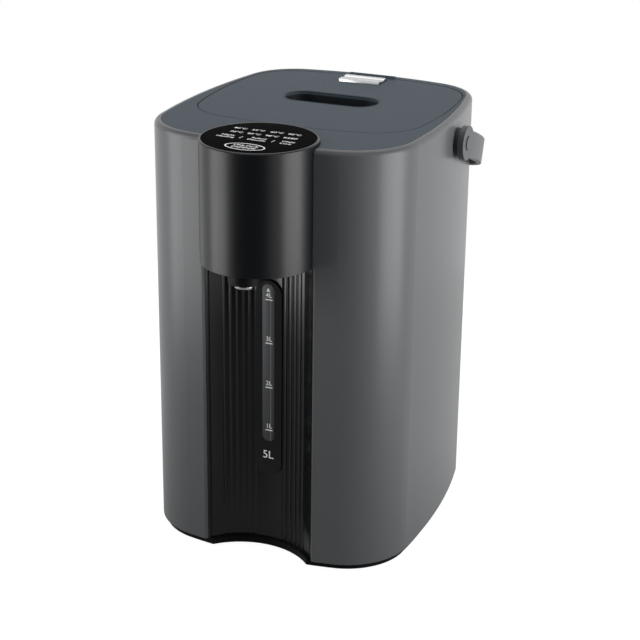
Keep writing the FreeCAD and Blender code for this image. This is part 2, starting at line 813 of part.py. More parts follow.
def build_top_frame():
    """Top frame: flush cover inside the shell's lip with the lid's well and the hinge knuckles."""
    high, under = s["body_top"], lip_under
    cover = extruded(body_outline(s["lip_width"] + s["seam"]), under, high)
    flange = extruded(body_outline(inner_gap), under - s["lip_thick"], under)
    well = extruded(lid_outline(-(s["lid_gap"] + s["well_wall"])), well_under, under)
    space = extruded(lid_outline(-s["lid_gap"]), s["well_floor_z"], high)
    mouth = cylinder(s["mouth_radius"], s["well_wall"], 0, s["tank_y"], well_under)
    head = cylinder(s["head_radius"] + s["head_gap"], high - well_under, 0, s["head_y"], well_under)
    keeper = box((-s["bolt_half_width"] - s["bolt_gap"], s["bolt_half_width"] + s["bolt_gap"]),
                 (well_front - s["bolt_reach"] - s["bolt_gap"], well_front + 2),
                 (s["bolt_bottom"] - s["bolt_gap"], bolt_top + s["bolt_gap"]))
    barrel = s["knuckle_radius"]
    notch_rear = s["hinge_y"] + barrel + s["lid_gap"]
    notch = box((-s["hinge_half"], s["hinge_half"]), (s["hinge_y"] - barrel - 2, notch_rear),
                (s["hinge_z"] - barrel - s["lid_gap"], high))
    notch_wall = box((-s["hinge_half"] - 2, s["hinge_half"] + 2), (s["hinge_y"] - 1, notch_rear + 1.5),
                     (s["hinge_z"] - barrel - s["lid_gap"] - 2, under))
    shoulder = s["hinge_half"] - s["knuckle_half"] - s["lid_gap"]
    knuckles = [cylinder(barrel, shoulder + 0.5, x, s["hinge_y"], s["hinge_z"], "X")
                for x in (s["knuckle_half"] + s["lid_gap"], -s["hinge_half"] - 0.5)]
    bore = cylinder(s["pin_radius"] + s["pin_fit"], s["hinge_half"] * 2 - 1, -s["hinge_half"] + 0.5,
                    s["hinge_y"], s["hinge_z"], "X")
    plain = cut(fuse(cover, flange, well, notch_wall), space, mouth, head, keeper, notch)
    keep("top_frame", cut(fuse(plain, *knuckles), bore))
    keep("lid_hinge_pin", cylinder(s["pin_radius"], s["hinge_half"] * 2 - 1, -s["hinge_half"] + 0.5,
                                   s["hinge_y"], s["hinge_z"], "X"))


def build_recess():
    """Fluted recess wall with the level gauge and its sight tube."""
    low, high = s["shell_bottom"], s["head_bottom"]
    inside = extruded(body_outline(inner_gap), low, high)
    outer = cylinder(panel_back, high - low, 0, s["recess_y"], low)
    inner = cylinder(s["recess_radius"], high - low, 0, s["recess_y"], low)
    fit = s["seam"]
    face, seat_back = s["gauge_front_y"], s["gauge_front_y"] + s["gauge_thick"]
    seat = upright_pill(s["gauge_half_width"] + fit, (face - OVER, seat_back),
                        (s["gauge_bottom"] - fit, s["gauge_top"] + fit))
    sight_z = (s["lens_bottom"] + s["lens_rim"], s["lens_top"] - s["lens_rim"])
    sight = upright_pill(s["sight_half_width"], (face - OVER, seat_back + panel_back), sight_z)
    step = number(s["flute_pitch"]) / number(s["recess_radius"])
    flutes = []
    for index in range(2, 7):
        for side in (1, -1):
            turn = side * (index + 0.5) * step
            ring = s["recess_radius"] + s["flute_depth"] - s["flute_radius"]
            flutes.append(cylinder(s["flute_radius"], high - low, ring * math.sin(turn),
                                   s["recess_y"] + ring * math.cos(turn), low))
    turn = number(s["groove_place"]) / number(s["recess_radius"])
    flutes += [cylinder(s["groove_radius"], high - low, s["recess_radius"] * math.sin(side * turn),
                        s["recess_y"] + s["recess_radius"] * math.cos(turn), low) for side in (1, -1)]
    ceiling = cut(common(inside, outer), cylinder(panel_back + 1, high - low - s["ceiling_thick"], 0,
                                                  s["recess_y"], low))
    head = cylinder(s["head_radius"] + s["head_gap"], high - low, 0, s["head_y"], low)
    wall = cut(common(inside, outer), inner, seat, sight, *flutes)
    keep("recess_panel", fuse(wall, cut(ceiling, head)))
    lens_back = face + s["lens_thick"]
    panel = upright_pill(s["gauge_half_width"], (face, seat_back), (s["gauge_bottom"], s["gauge_top"]))
    lens_seat = upright_pill(s["lens_half_width"] + fit, (face - OVER, lens_back),
                             (s["lens_bottom"] - fit, s["lens_top"] + fit))
    keep("level_panel", cut(panel, lens_seat, sight))
    lens_z = (s["lens_bottom"], s["lens_top"])
    keep("level_window", upright_pill(s["lens_half_width"], (face, lens_back), lens_z))
    keep("level_tube", tube(s["tube_radius"], s["tube_bore"], s["head_bottom"] - s["tank_floor_z"] - 4,
                            0, s["tube_y"], s["tank_floor_z"]))


def build_head():
    """Round control head: its shell, glass top, board, lower cover and spout."""
    low, high, radius = s["head_bottom"], s["head_top"], s["head_radius"]
    seat = radius - s["glass_rim"]
    ledge_in = head_inner - 3
    body = turned_body("control_head", [
        (radius, low), (radius, high - 0.8), (radius - 0.8, high), (seat, high), (seat, glass_under),
        (ledge_in, glass_under), (ledge_in, ledge_under), (head_inner, ledge_under), (head_inner, low)],
        0, s["head_y"])
    glass = new_body("touch_panel")
    sketch = sketch_on(glass, "XY_Plane", glass_under)
    circle(sketch, 0, 0, seat - s["pin_fit"])
    block = pad(glass, sketch, s["glass_thick"])
    fillet_where(glass, block, 0.4, at_height(number(high)))
    place(glass, 0, s["head_y"], 0)
    board = head_inner - s["seam"]
    keep("control_board", cylinder(board, s["board_thick"], 0, s["head_y"], ledge_under - s["board_thick"]))
    fit = s["seam"]
    cover_low = low + 1
    cover = cylinder(head_inner - s["pin_fit"], s["head_wall"], 0, s["head_y"], cover_low)
    spout_hole = cylinder(s["collar_radius"] - s["collar_wall"], s["head_wall"], 0, s["spout_y"], cover_low)
    tube_hole = cylinder(s["port_radius"] + fit, s["head_wall"], s["pump_x"], delivery_y, cover_low)
    cable_hole = cylinder(s["cable_radius"] + fit, s["head_wall"], cable_x, cable_y, cover_low)
    keep("head_bottom_cover", cut(cover, spout_hole, tube_hole, cable_hole))
    collar_low = low - s["collar_drop"]
    neck = s["spout_bore"] + s["hose_wall"]
    inner = s["collar_radius"] - s["collar_wall"] - fit
    collar_top = cover_low + s["head_wall"] + s["collar_wall"]
    nozzle_stop = collar_low + s["nozzle_seat"]
    nozzle_top = low + s["nozzle_rise"]
    turned_body("spout_collar", [
        (s["spout_radius"] + fit, collar_low), (s["collar_radius"], collar_low),
        (s["collar_radius"], cover_low), (inner, cover_low), (inner, collar_top), (neck, collar_top),
        (neck, nozzle_stop), (s["spout_radius"] + fit, nozzle_stop)], 0, s["spout_y"])
    base = s["spout_bottom"]
    turned_body("spout_nozzle", [
        (s["spout_bore"], base), (s["spout_radius"] - s["tip_narrow"], base),
        (s["spout_radius"] - s["tip_narrow"] / 4, base + s["tip_rise"] / 2),
        (s["spout_radius"], base + s["tip_rise"]),
        (s["spout_radius"], nozzle_stop), (neck, nozzle_stop), (neck, nozzle_top),
        (s["spout_bore"], nozzle_top)], 0, s["spout_y"])


def build_tank():
    """Stainless tank with its seal, jacket, stand and heater."""
    wall, radius, floor, high = s["tank_wall"], s["tank_radius"], s["tank_floor_z"], s["tank_top"]
    neck = radius - s["tank_rim"]
    inner = radius - wall
    tank = new_body("inner_tank")
    turned(tank, [(0, floor), (radius - 4, floor), (radius, floor + 4), (radius, high), (neck, high),
                  (neck, high - wall), (inner, high - wall), (inner, floor + 4 + wall / 2),
                  (radius - 4 - wall / 2, floor + wall), (0, floor + wall)])
    sketch = sketch_on(tank, "XY_Plane", floor)
    circle(sketch, s["pump_x"], s["pump_y"] - s["tank_y"], s["port_bore"])
    circle(sketch, -s["pump_x"], s["pump_y"] - s["tank_y"], s["port_bore"] - 1)
    pocket(tank, sketch, wall * 2)
    place(tank, 0, s["tank_y"], 0)
    turned_body("tank_seal", [(s["mouth_radius"], high), (radius, high), (radius, well_under),
                              (s["mouth_radius"], well_under)], 0, s["tank_y"])
    turned_body("tank_jacket", [
        (radius, s["jacket_bottom"]), (radius + s["jacket_thick"], s["jacket_bottom"]),
        (radius + s["jacket_thick"], s["jacket_top"]), (radius, s["jacket_top"])], 0, s["tank_y"])
    ring = tube(support_radius, support_inner, floor - base_inside, 0, s["tank_y"], base_inside)
    around, frame, half = s["inlet_clear"], s["support_frame"], s["window_half_width"]
    window = box((-half, half), (s["tank_y"] - s["tank_radius"], s["tank_y"] - s["heater_radius"]),
                 (s["window_bottom"], floor - frame))
    rear = box((-s["inlet_half_width"] - around, s["inlet_half_width"] + around),
               (s["tank_y"] + s["heater_radius"], s["tank_y"] + s["tank_radius"]),
               (s["inlet_bottom"] - around, s["inlet_top"] + around))
    screws_at = [(screw_ring * a, s["tank_y"] + screw_ring * b) for a in (1, -1) for b in (1, -1)]
    tall, thick = s["post_height"], s["screw_radius"] * 3
    posts = [cylinder(thick, tall, x, y, base_inside) for x, y in screws_at]
    bores = [cylinder(s["screw_radius"] + s["pin_fit"], tall, x, y, base_inside) for x, y in screws_at]
    outside = tube(support_radius + thick, support_radius, tall, 0, s["tank_y"], base_inside)
    keep("tank_support", cut(fuse(cut(ring, window, rear), *posts), outside, *bores))
    keep("heater_plate", cylinder(s["heater_radius"], s["heater_thick"], 0, s["tank_y"], heater_under))
    for name, ring in (("boil_element", s["boil_ring"]), ("warm_element", s["warm_ring"])):
        edge = ring + s["element_section"]
        turned_body(name, [(ring, element_under), (edge, element_under), (edge, heater_under),
                           (ring, heater_under)], 0, s["tank_y"])
    rise, aside = s["thermostat_rise"], s["warm_ring"] / 2
    keep("thermostats", group(*[cylinder(s["thermostat_radius"], rise, x, s["tank_y"], heater_under - rise)
                                for x in (-aside, aside)]))
    keep("temperature_sensor", cylinder(s["sensor_radius"], s["sensor_rise"], 0, s["tank_y"] + aside,
                                        heater_under - s["sensor_rise"]))


def build_pump():
    """Centrifugal pump: motor can, housing and rotor."""
    x, y = s["pump_x"], s["pump_y"]
    base, mid, top = base_inside, s["motor_top"], housing_top
    wall, shaft = s["housing_wall"], s["shaft_radius"] + s["pin_fit"]
    turned_body("pump_motor", [
        (0, base), (s["motor_radius"], base), (s["motor_radius"], mid), (shaft, mid), (shaft, mid - 12),
        (0, mid - 12)], x, y)
    room = s["housing_radius"] - wall
    shell = cut(cylinder(s["housing_radius"], top - mid, x, y, mid),
                cylinder(room, top - mid - wall * 2, x, y, mid + wall), cylinder(shaft, wall, x, y, mid))
    rise = s["port_rise"]
    reach = s["housing_radius"] + s["outlet_length"]
    port = cylinder(s["port_radius"], rise, x, y, top)
    outlet = cylinder(s["port_radius"], reach, x, y - reach, outlet_z, "Y")
    bores = [cylinder(s["port_bore"], rise + wall, x, y, top - wall),
             cylinder(s["port_bore"], reach, x, y - reach, outlet_z, "Y")]
    core = cylinder(room, top - mid - wall * 2, x, y, mid + wall)
    keep("pump_housing", cut(fuse(shell, port, cut(outlet, core)), *bores))
    rotor = new_body("pump_impeller")
    disc_low = mid + wall + 1
    blade_high = top - wall - 1
    turned(rotor, [(0, mid - 11), (s["shaft_radius"], mid - 11), (s["shaft_radius"], disc_low),
                   (s["rotor_radius"], disc_low), (s["rotor_radius"], disc_low + 1.5), (4, disc_low + 1.5),
                   (4, blade_high), (0, blade_high)])
    sketch = sketch_on(rotor, "XY_Plane", disc_low)
    rectangle(sketch, (2, s["rotor_radius"] - 0.3), (-0.8, 0.8))
    blade = pad(rotor, sketch, blade_high - disc_low - 1)
    doc.recompute()
    pattern = rotor.newObject("PartDesign::PolarPattern", "blades")
    pattern.Originals = [blade]
    pattern.Axis = (sketch, ["N_Axis"])
    pattern.Angle = ROUND
    pattern.Occurrences = 6
    rotor.Tip = pattern
    place(rotor, x, y, 0)


def build_hoses():
    """Inlet hose, delivery tube, gauge hose and the cable to the head."""
    x, y = s["pump_x"], s["pump_y"]
    bore = s["port_radius"] + s["pin_fit"]
    outer = s["port_radius"] + s["hose_wall"]
    keep("inlet_hose", tube(outer, bore, s["tank_floor_z"] - housing_top, x, y, housing_top))
    rise = s["head_bottom"] + 21
    start = y - s["housing_radius"] - s["outlet_length"]
    hose("delivery_tube", [(x, start, outlet_z), (x, delivery_y, outlet_z), (x, delivery_y, rise),
                           (0, s["spout_y"], rise), (0, s["spout_y"], s["head_bottom"] + s["nozzle_rise"])],
         s["port_radius"], s["port_bore"], s["hose_bend"])
    side = -x
    low = s["tank_floor_z"] - 13
    hose("level_hose", [(side, y, s["tank_floor_z"]), (side, y, low), (0, s["tube_y"], low),
                (0, s["tube_y"], s["tank_floor_z"])], s["tube_radius"], s["tube_bore"] - 1, s["hose_bend"])
    deck = s["power_board_z"] + s["board_thick"]
    run = deck + 12
    hose("signal_cable", [(28, s["tank_y"] + 22, deck), (28, s["tank_y"] + 22, run), (28, -44, run),
                          (cable_x, cable_y, run), (cable_x, cable_y, ledge_under - s["board_thick"])],
         s["cable_radius"], 0, 6)


def build_power():
    """Mains inlet, power board and its parts."""
    half, low, high, wall = s["inlet_half_width"], s["inlet_bottom"], s["inlet_top"], s["inlet_wall"]
    face = rear_face + s["inlet_stand"]
    back = face - s["inlet_depth"]
    body = new_body("inlet_socket")
    sketch = sketch_on(body, "XZ_Plane", -back)
    rectangle(sketch, (-half, half), (low, high))
    block = pad(body, sketch, s["inlet_depth"], back=True)
    fillet_where(body, block, 3, lambda edge: edge.BoundBox.YLength > 1
                 and edge.BoundBox.XLength < 1e-6 and edge.BoundBox.ZLength < 1e-6)
    sketch = sketch_on(body, "XZ_Plane", -face)
    rectangle(sketch, (-half + wall, half - wall), (low + wall, high - wall))
    pocket(body, sketch, s["inlet_depth"] - wall)
    middle = (low + high) / 2
    pins = [cylinder(1.6, 5, x, back + wall, middle, "Y") for x in (-8, 0, 8)]
    keep("inlet_pins", group(*pins))
    deck = s["power_board_z"]
    front, rear = s["tank_y"] - 2, s["tank_y"] + 54
    keep("power_board", box((-38, 38), (front, rear), (deck, deck + s["board_thick"])))
    keep("board_posts", group(*[cylinder(3, deck - base_inside, x, y, base_inside)
                                for x in (-33, 33) for y in (front + 5, rear - 5)]))
    top = deck + s["board_thick"]
    keep("board_parts", group(box((-30, -6), (front + 12, front + 36), (top, top + 18)),
                              cylinder(7, 16, 6, front + 26, top), box((-28, -12), (rear - 12, rear - 4),
                                                                      (top, top + 12))))


def build_lid():
    """Lid: cover, liner with its plug, inner plate, gasket, finger cup, steam tube and screws."""
    high, under = s["body_top"], lid_under_top
    low = s["lid_bottom"]
    inset = s["lid_skirt_inset"]
    body = new_body("lid_cover")
    sketch = sketch_on(body, "XY_Plane", under)
    draw_outline(sketch, lid_outline())
    top = pad(body, sketch, s["lid_top_thick"])
    fillet_where(body, top, 0.6, at_height(number(high)))
    sketch = sketch_on(body, "XY_Plane", low)
    draw_outline(sketch, lid_outline(inset))
    pad(body, sketch, under - low)
    sketch = sketch_on(body, "XY_Plane", low)
    draw_outline(sketch, lid_outline(inset + s["lid_wall"]))
    pocket(body, sketch, under - low)
    half, front, rear = s["lever_half_width"], s["lever_front"], s["lever_rear"]
    gap, across = s["lever_gap"], s["lever_x"]
    floor, wall = s["lever_bottom"] - s["lever_well"], s["lever_well_wall"]
    sketch = sketch_on(body, "XY_Plane", floor - wall)
    rectangle(sketch, (across - half - gap - wall * 2, across + half + gap + wall * 2),
              (front - gap - wall, rear + gap + wall))
    pad(body, sketch, under - floor + wall)
    bosses = [(x, s["lid_y"] + y) for x in (-72, 72) for y in (-50, 50)]
    sketch = sketch_on(body, "XY_Plane", low)
    for x, y in bosses:
        circle(sketch, x, y, s["screw_radius"] * 2.7)
    pad(body, sketch, under - low)
    sketch = sketch_on(body, "XY_Plane", low)
    for x, y in bosses:
        circle(sketch, x, y, s["screw_radius"] + s["pin_fit"])
    pocket(body, sketch, 10)
    sketch = sketch_on(body, "XY_Plane", floor)
    rectangle(sketch, (across - half - gap, across + half + gap), (front - gap, rear + gap))
    pocket(body, sketch, high - floor + 1)
    sketch = sketch_on(body, "XY_Plane", under - 1)
    stadium(sketch, s["slot_x"], s["slot_y"], s["slot_length"], s["slot_width"])
    mouth = pocket(body, sketch, s["lid_top_thick"] + 2)
    reach_x, reach_y = number(s["slot_length"]) / 2 + 3, number(s["slot_width"]) / 2 + 0.1
    rim = at_height(number(high))
    middle = number(s["slot_y"])
    fillet_where(body, mouth, 1.6, lambda edge: rim(edge) and abs(edge.BoundBox.Center.y - middle) < reach_y
                 and abs(edge.BoundBox.Center.x) < reach_x and edge.BoundBox.XLength < 2 * reach_x)
    sketch = sketch_on(body, "XZ_Plane", -lid_front - 5)
    wide = s["bolt_half_width"] + s["bolt_gap"]
    rectangle(sketch, (-wide, wide), (s["bolt_bottom"] - s["bolt_gap"], bolt_top + s["bolt_gap"]))
    pocket(body, sketch, 6)
    sketch = sketch_on(body, "YZ_Plane")
    circle(sketch, s["lever_pin_y"], s["lever_pin_z"], s["lever_pin_radius"] + s["pin_fit"])
    pocket(body, sketch, (half + wall * 2 - across) * 2, middle=True)
    sketch = sketch_on(body, "YZ_Plane")
    circle(sketch, s["hinge_y"], s["hinge_z"], s["knuckle_radius"] + s["knuckle_gap"])
    pocket(body, sketch, (s["hinge_half"] + 0.5 + s["knuckle_gap"]) * 2, middle=True)
    sketch = sketch_on(body, "YZ_Plane")
    circle(sketch, s["hinge_y"], s["hinge_z"], s["knuckle_radius"])
    pad(body, sketch, s["knuckle_half"] * 2, middle=True)
    sketch = sketch_on(body, "YZ_Plane")
    tongue_front = s["hinge_y"] - s["knuckle_radius"] - s["knuckle_gap"] - 0.6
    rectangle(sketch, (tongue_front, s["hinge_y"]), (s["hinge_z"] - 1.7, s["hinge_z"] + 0.6))
    pad(body, sketch, s["knuckle_half"] * 2, middle=True)
    sketch = sketch_on(body, "YZ_Plane")
    circle(sketch, s["hinge_y"], s["hinge_z"], s["pin_radius"] + s["pin_fit"])
    pocket(body, sketch, s["knuckle_half"] * 2 + 1, middle=True)
    build_lid_inside(bosses)


def build_lid_inside(bosses):
    """What the lid's cover closes over."""
    low, under = s["lid_bottom"], liner_under
    inset = s["lid_skirt_inset"]
    plate = extruded(lid_outline(inset), under, low)
    plug = cylinder(s["plug_radius"], under - s["plug_bottom"], 0, s["tank_y"], s["plug_bottom"])
    hollow = cylinder(s["plug_radius"] - s["plug_wall"], low - s["plug_bottom"] - s["plug_wall"], 0,
                      s["tank_y"], s["plug_bottom"] + s["plug_wall"])
    bore = s["steam_radius"] - s["cup_wall"]
    vent = cylinder(bore, s["plug_wall"], 0, s["tank_y"], s["plug_bottom"])
    holes = [cylinder(s["screw_radius"] + s["seam"], s["liner_thick"], x, y, under) for x, y in bosses]
    keep("lid_liner", cut(fuse(plate, plug), hollow, vent, *holes))
    turned_body("lid_inner_plate", [
        (bore, s["plug_bottom"] - s["plate_thick"]), (s["plug_radius"], s["plug_bottom"] - s["plate_thick"]),
        (s["plug_radius"], s["plug_bottom"]), (bore, s["plug_bottom"])], 0, s["tank_y"])
    lip = s["well_floor_z"] + s["gasket_air"]
    turned_body("lid_gasket", [
        (s["plug_radius"], under - 1.5), (s["gasket_inner"], under - 1.5), (s["gasket_inner"] + 1, lip),
        (s["gasket_outer"], lip), (s["gasket_outer"], under), (s["plug_radius"], under)], 0, s["tank_y"])
    keep("lid_screws", group(*[fuse(cylinder(s["screw_head"], 1.5, x, y, under - 1.5),
                                    cylinder(s["screw_radius"], 11, x, y, under - 1)) for x, y in bosses]))
    body = new_body("finger_cup")
    wall = s["cup_wall"]
    rise = lid_under_top - cup_floor
    sketch = sketch_on(body, "XY_Plane", cup_floor - wall)
    stadium(sketch, s["slot_x"], s["slot_y"], s["slot_length"] + wall * 2, s["slot_width"] + wall * 2)
    pad(body, sketch, rise + wall)
    sketch = sketch_on(body, "XY_Plane", cup_floor)
    stadium(sketch, s["slot_x"], s["slot_y"], s["slot_length"], s["slot_width"])
    cavity = pocket(body, sketch, rise)
    fillet_where(body, cavity, 4, at_height(number(cup_floor)))
    sketch = sketch_on(body, "XY_Plane", cup_floor - wall)
    circle(sketch, 0, s["tank_y"], 1.2)
    for index in range(6):
        turn = index * math.pi / 3
        circle(sketch, 3.2 * math.cos(turn), s["tank_y"] + 3.2 * math.sin(turn), 1.1)
    pocket(body, sketch, wall * 2)
    sketch = sketch_on(body, "XZ_Plane", -cup_front)
    wide = s["bolt_half_width"] + s["bolt_gap"]
    rectangle(sketch, (-wide, wide), (s["bolt_bottom"] - s["bolt_gap"], bolt_top + s["bolt_gap"]))
    pocket(body, sketch, wall * 6, middle=True)
    keep("steam_tube", tube(s["steam_radius"], bore, cup_floor - wall - s["plug_bottom"] - s["plug_wall"], 0,
                            s["tank_y"], s["plug_bottom"] + s["plug_wall"]))


def build_latch():
    """Sliding latch bolt with its finger tab and spring."""
    half, low, high = s["bolt_half_width"], s["bolt_bottom"], bolt_top
    tip = well_front - s["bolt_reach"]
    tab_front = cup_front + 0.7
    tab_rear = tab_front + s["tab_thick"]
    lug_rear = cup_front - s["cup_wall"] - 12
    plate = box((-half, half), (tip, tab_rear), (low, high))
    tab = box((-half, half), (tab_front, tab_rear), (low, low + s["tab_rise"]))
    lug = box((-4, 4), (lug_rear - 2, lug_rear), (low, high + 5))
    keep("latch_bolt", fuse(plate, tab, lug))
    keep("latch_spring", tube(2, 1.4, cup_front - s["cup_wall"] - lug_rear, 0, lug_rear, high + 2.4, "Y"))


def build_release():
    """Silver release lever over the hinge, with its pin and spring."""
    half, front, rear = s["lever_half_width"], s["lever_front"], s["lever_rear"]
    low, high, across = s["lever_bottom"], s["lever_top"], s["lever_x"]
    body = new_body("hinge_release")
    sketch = sketch_on(body, "YZ_Plane", across - half)
    polygon(sketch, [(front, low), (rear, low), (rear, high - 1.6), (rear - 5, high), (front + 2, high),
                     (front, high - 1)])
    block = pad(body, sketch, half * 2)
    top = number(high) - 1.8
    fillet_where(body, block, 1.2, lambda edge: edge.BoundBox.XLength < 1e-6 and edge.BoundBox.ZMin > top)
    sketch = sketch_on(body, "YZ_Plane", across)
    circle(sketch, s["lever_pin_y"], s["lever_pin_z"], s["lever_pin_radius"] + s["pin_fit"])
    pocket(body, sketch, half * 2 + 1, middle=True)
    pin_reach = half + s["lever_gap"] + s["lever_well_wall"]
    keep("release_pin", cylinder(s["lever_pin_radius"], pin_reach * 2, across - pin_reach, s["lever_pin_y"],
                                 s["lever_pin_z"], "X"))
    floor = low - s["lever_well"]
    keep("release_spring", tube(2.4, 1.8, low - floor, across, front + 4, floor))


def build_handle():
    """Carrying handle: bail, pivot bosses, pins, plates and caps."""
    y, z, half = s["pivot_y"], s["pivot_z"], s["bail_half_width"]
    body = new_body("handle_bail")
    sketch = sketch_on(body, "XY_Plane")
    draw_strap(sketch)
    strap = pad(body, sketch, s["strap_height"], middle=True)
    fillet_where(body, strap, s["strap_round"],
                 lambda edge: edge.BoundBox.ZLength < 1e-6 and edge.Length > 15)
    inner = half - s["ear_thick"]
    for side, back in ((1, False), (-1, True)):
        sketch = sketch_on(body, "YZ_Plane", inner * side)
        circle(sketch, 0, 0, s["ear_radius"])
        pad(body, sketch, s["ear_thick"], back=back)
    bore = s["pivot_pin_radius"] + s["pin_fit"]
    sketch = sketch_on(body, "YZ_Plane")
    circle(sketch, 0, 0, bore)
    pocket(body, sketch, half * 2 + 2, middle=True)
    tilt = FreeCAD.Rotation(FreeCAD.Vector(1, 0, 0), -number(s["bail_tilt"]))
    body.Placement = FreeCAD.Placement(ORIGIN, tilt)
    place(body, 0, y, z)
    low, high = z - s["ear_radius"], z + s["ear_radius"]
    outside = extruded(body_outline(), low, high)
    inside = extruded(body_outline(s["shell_wall"]), low, high)
    radius, depth, ring = s["boss_radius"], s["boss_depth"], s["ring_width"]
    bosses = []
    plates = []
    for side in (1, -1):
        start = boss_face - depth if side > 0 else -boss_face
        groove = boss_face - ring * 2 if side > 0 else -boss_face + ring
        notch = tube(radius + 1, radius - s["ring_depth"], ring, groove, y, z, "X")
        bosses.append(cut(cylinder(radius, depth, start, y, z, "X"), outside, notch,
                          cylinder(bore, depth, start, y, z, "X")))
        deep = s["plate_depth"]
        start = s["body_half_width"] - deep if side > 0 else -s["body_half_width"]
        plates.append(cut(common(cylinder(s["plate_radius"], deep, start, y, z, "X"), inside),
                          cylinder(bore, deep, start, y, z, "X")))
    keep("pivot_bosses", group(*bosses))
    keep("pivot_plates", group(*plates))
    length = half - s["body_half_width"] + s["plate_depth"]
    pins = [cylinder(s["pivot_pin_radius"], length, x, y, z, "X") for x in (half - length, -half)]
    keep("pivot_pins", group(*pins))
    cap = s["pivot_cap_thick"]
    caps = [cylinder(s["pivot_cap_radius"], cap, x, y, z, "X") for x in (half, -half - cap)]
    keep("pivot_caps", group(*caps))


def draw_strap(sketch):
    """The ribbon of the bail in its own plane: an outer and an inner run, closed at the ears."""
    runs = [strap_run(sketch, inset) for inset in (0, s["strap_thick"])]
    for end, point in ((0, 1), (-1, 2)):
        outer, inner = runs[0][end], runs[1][end]
        spots = [sketch.getPoint(shape, point) for shape in (outer, inner)]
        index = sketch.addGeometry(Part.LineSegment(*spots), False)
        sketch.addConstraint(Sketcher.Constraint("Coincident", index, 1, outer, point))
        sketch.addConstraint(Sketcher.Constraint("Coincident", index, 2, inner, point))


def strap_run(sketch, inset):
    """One mirrored run of the bail, from the right ear round the back to the left ear."""
    half, straight = s["bail_half_width"], s["bail_straight"]
    bends = ("bail_side_bend", "bail_corner_bend", "bail_back_bend")
    side, corner, back = (s[name] - inset for name in bends)
    side_x = half - s["bail_side_bend"]
    back_y = s["bail_depth"] - s["bail_back_bend"]
    corner_x, corner_y = corner_centre((number(side_x), number(straight), number(side)),
                                       (0.0, number(back_y), number(back)), number(corner))
    first = math.atan2(corner_y - number(straight), corner_x - number(side_x))
    last = math.atan2(corner_y - number(back_y), corner_x)
    edge_x = number(half - inset)
    arcs = [((side_x, straight), None, side, 0.0, first),
            (None, (corner_x, corner_y), corner, first, last),
            ((0, back_y), None, back, last, math.pi - last),
            (None, (-corner_x, corner_y), corner, math.pi - last, math.pi - first),
            ((-side_x, straight), None, side, math.pi - first, math.pi)]
    ends = [FreeCAD.Vector(sign * edge_x, height, 0) for sign, height in (
        (1, 0), (1, number(straight)), (-1, number(straight)), (-1, 0))]
    shapes = [sketch.addGeometry(Part.LineSegment(ends[0], ends[1]), False)]
    for held, free, radius, start, finish in arcs:
        x, y = held or free
        ring = Part.Circle(FreeCAD.Vector(number(x), number(y), 0), UP, number(radius))
        shapes.append(sketch.addGeometry(Part.ArcOfCircle(ring, start, finish), False))
    shapes.append(sketch.addGeometry(Part.LineSegment(ends[2], ends[3]), False))
    for one, two in zip(shapes, shapes[1:]):
        sketch.addConstraint(Sketcher.Constraint("Tangent", one, 2, two, 1))
    for shape, (held, free, radius, start, finish) in zip(shapes[1:-1], arcs):
        if held:
            fix(sketch, shape, 3, held[0], held[1])
        hold_radius(sketch, shape, radius)
    fix(sketch, shapes[0], 1, half - inset, 0)
    fix(sketch, shapes[-1], 2, inset - half, 0)
    return shapes


build_shell()
build_base()
build_top_frame()
build_recess()
build_head()
build_tank()
build_pump()
build_hoses()
build_power()
build_lid()
build_latch()
build_release()
build_handle()

doc.recompute()
for item in doc.Objects:
    if "Invalid" in item.State or "Error" in item.State:
        raise ValueError(item.Label + " has not been made: " + str(item.State))
os.makedirs("parts", exist_ok=True)
for name, item in nodes.items():
    shape = item.Shape
    if shape.isNull() or not shape.isValid() or not shape.Solids:
        raise ValueError(name + " has no valid solid")
    box_of = shape.BoundBox
    print(name, len(shape.Solids), round(shape.Volume, 1), [round(v, 1) for v in (
        box_of.XMin, box_of.XMax, box_of.YMin, box_of.YMax, box_of.ZMin, box_of.ZMax)])
    shape.exportStep("parts/" + name + ".step")
print(len(nodes), "nodes")
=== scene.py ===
"""Looks of an electric thermo pot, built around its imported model."""

import logging
import math
from collections.abc import Sequence
from dataclasses import dataclass, field
from enum import Enum

import bmesh
import bpy
from mathutils import Matrix, Vector


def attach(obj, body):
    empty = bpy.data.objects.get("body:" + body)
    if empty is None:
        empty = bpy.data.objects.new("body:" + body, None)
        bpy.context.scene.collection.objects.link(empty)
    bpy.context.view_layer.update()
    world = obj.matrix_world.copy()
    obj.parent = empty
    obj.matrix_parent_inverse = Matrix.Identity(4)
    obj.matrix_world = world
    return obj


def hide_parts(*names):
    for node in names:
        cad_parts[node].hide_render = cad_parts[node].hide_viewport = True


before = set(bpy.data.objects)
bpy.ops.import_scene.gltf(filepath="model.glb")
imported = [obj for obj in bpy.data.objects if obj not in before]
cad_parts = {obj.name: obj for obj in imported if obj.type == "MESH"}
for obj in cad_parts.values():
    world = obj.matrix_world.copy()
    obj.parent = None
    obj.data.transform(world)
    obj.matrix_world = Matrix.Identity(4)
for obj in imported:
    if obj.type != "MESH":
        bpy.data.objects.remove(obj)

LOG = logging.getLogger("thermo_pot")
MM = 0.001
FULL_TURN = math.tau
Color = tuple[float, float, float]
Stretch = tuple[float, float, float]
Point = tuple[float, float]
EVEN: Stretch = (1.0, 1.0, 1.0)
WHITE = (1.0, 1.0, 1.0, 1.0)


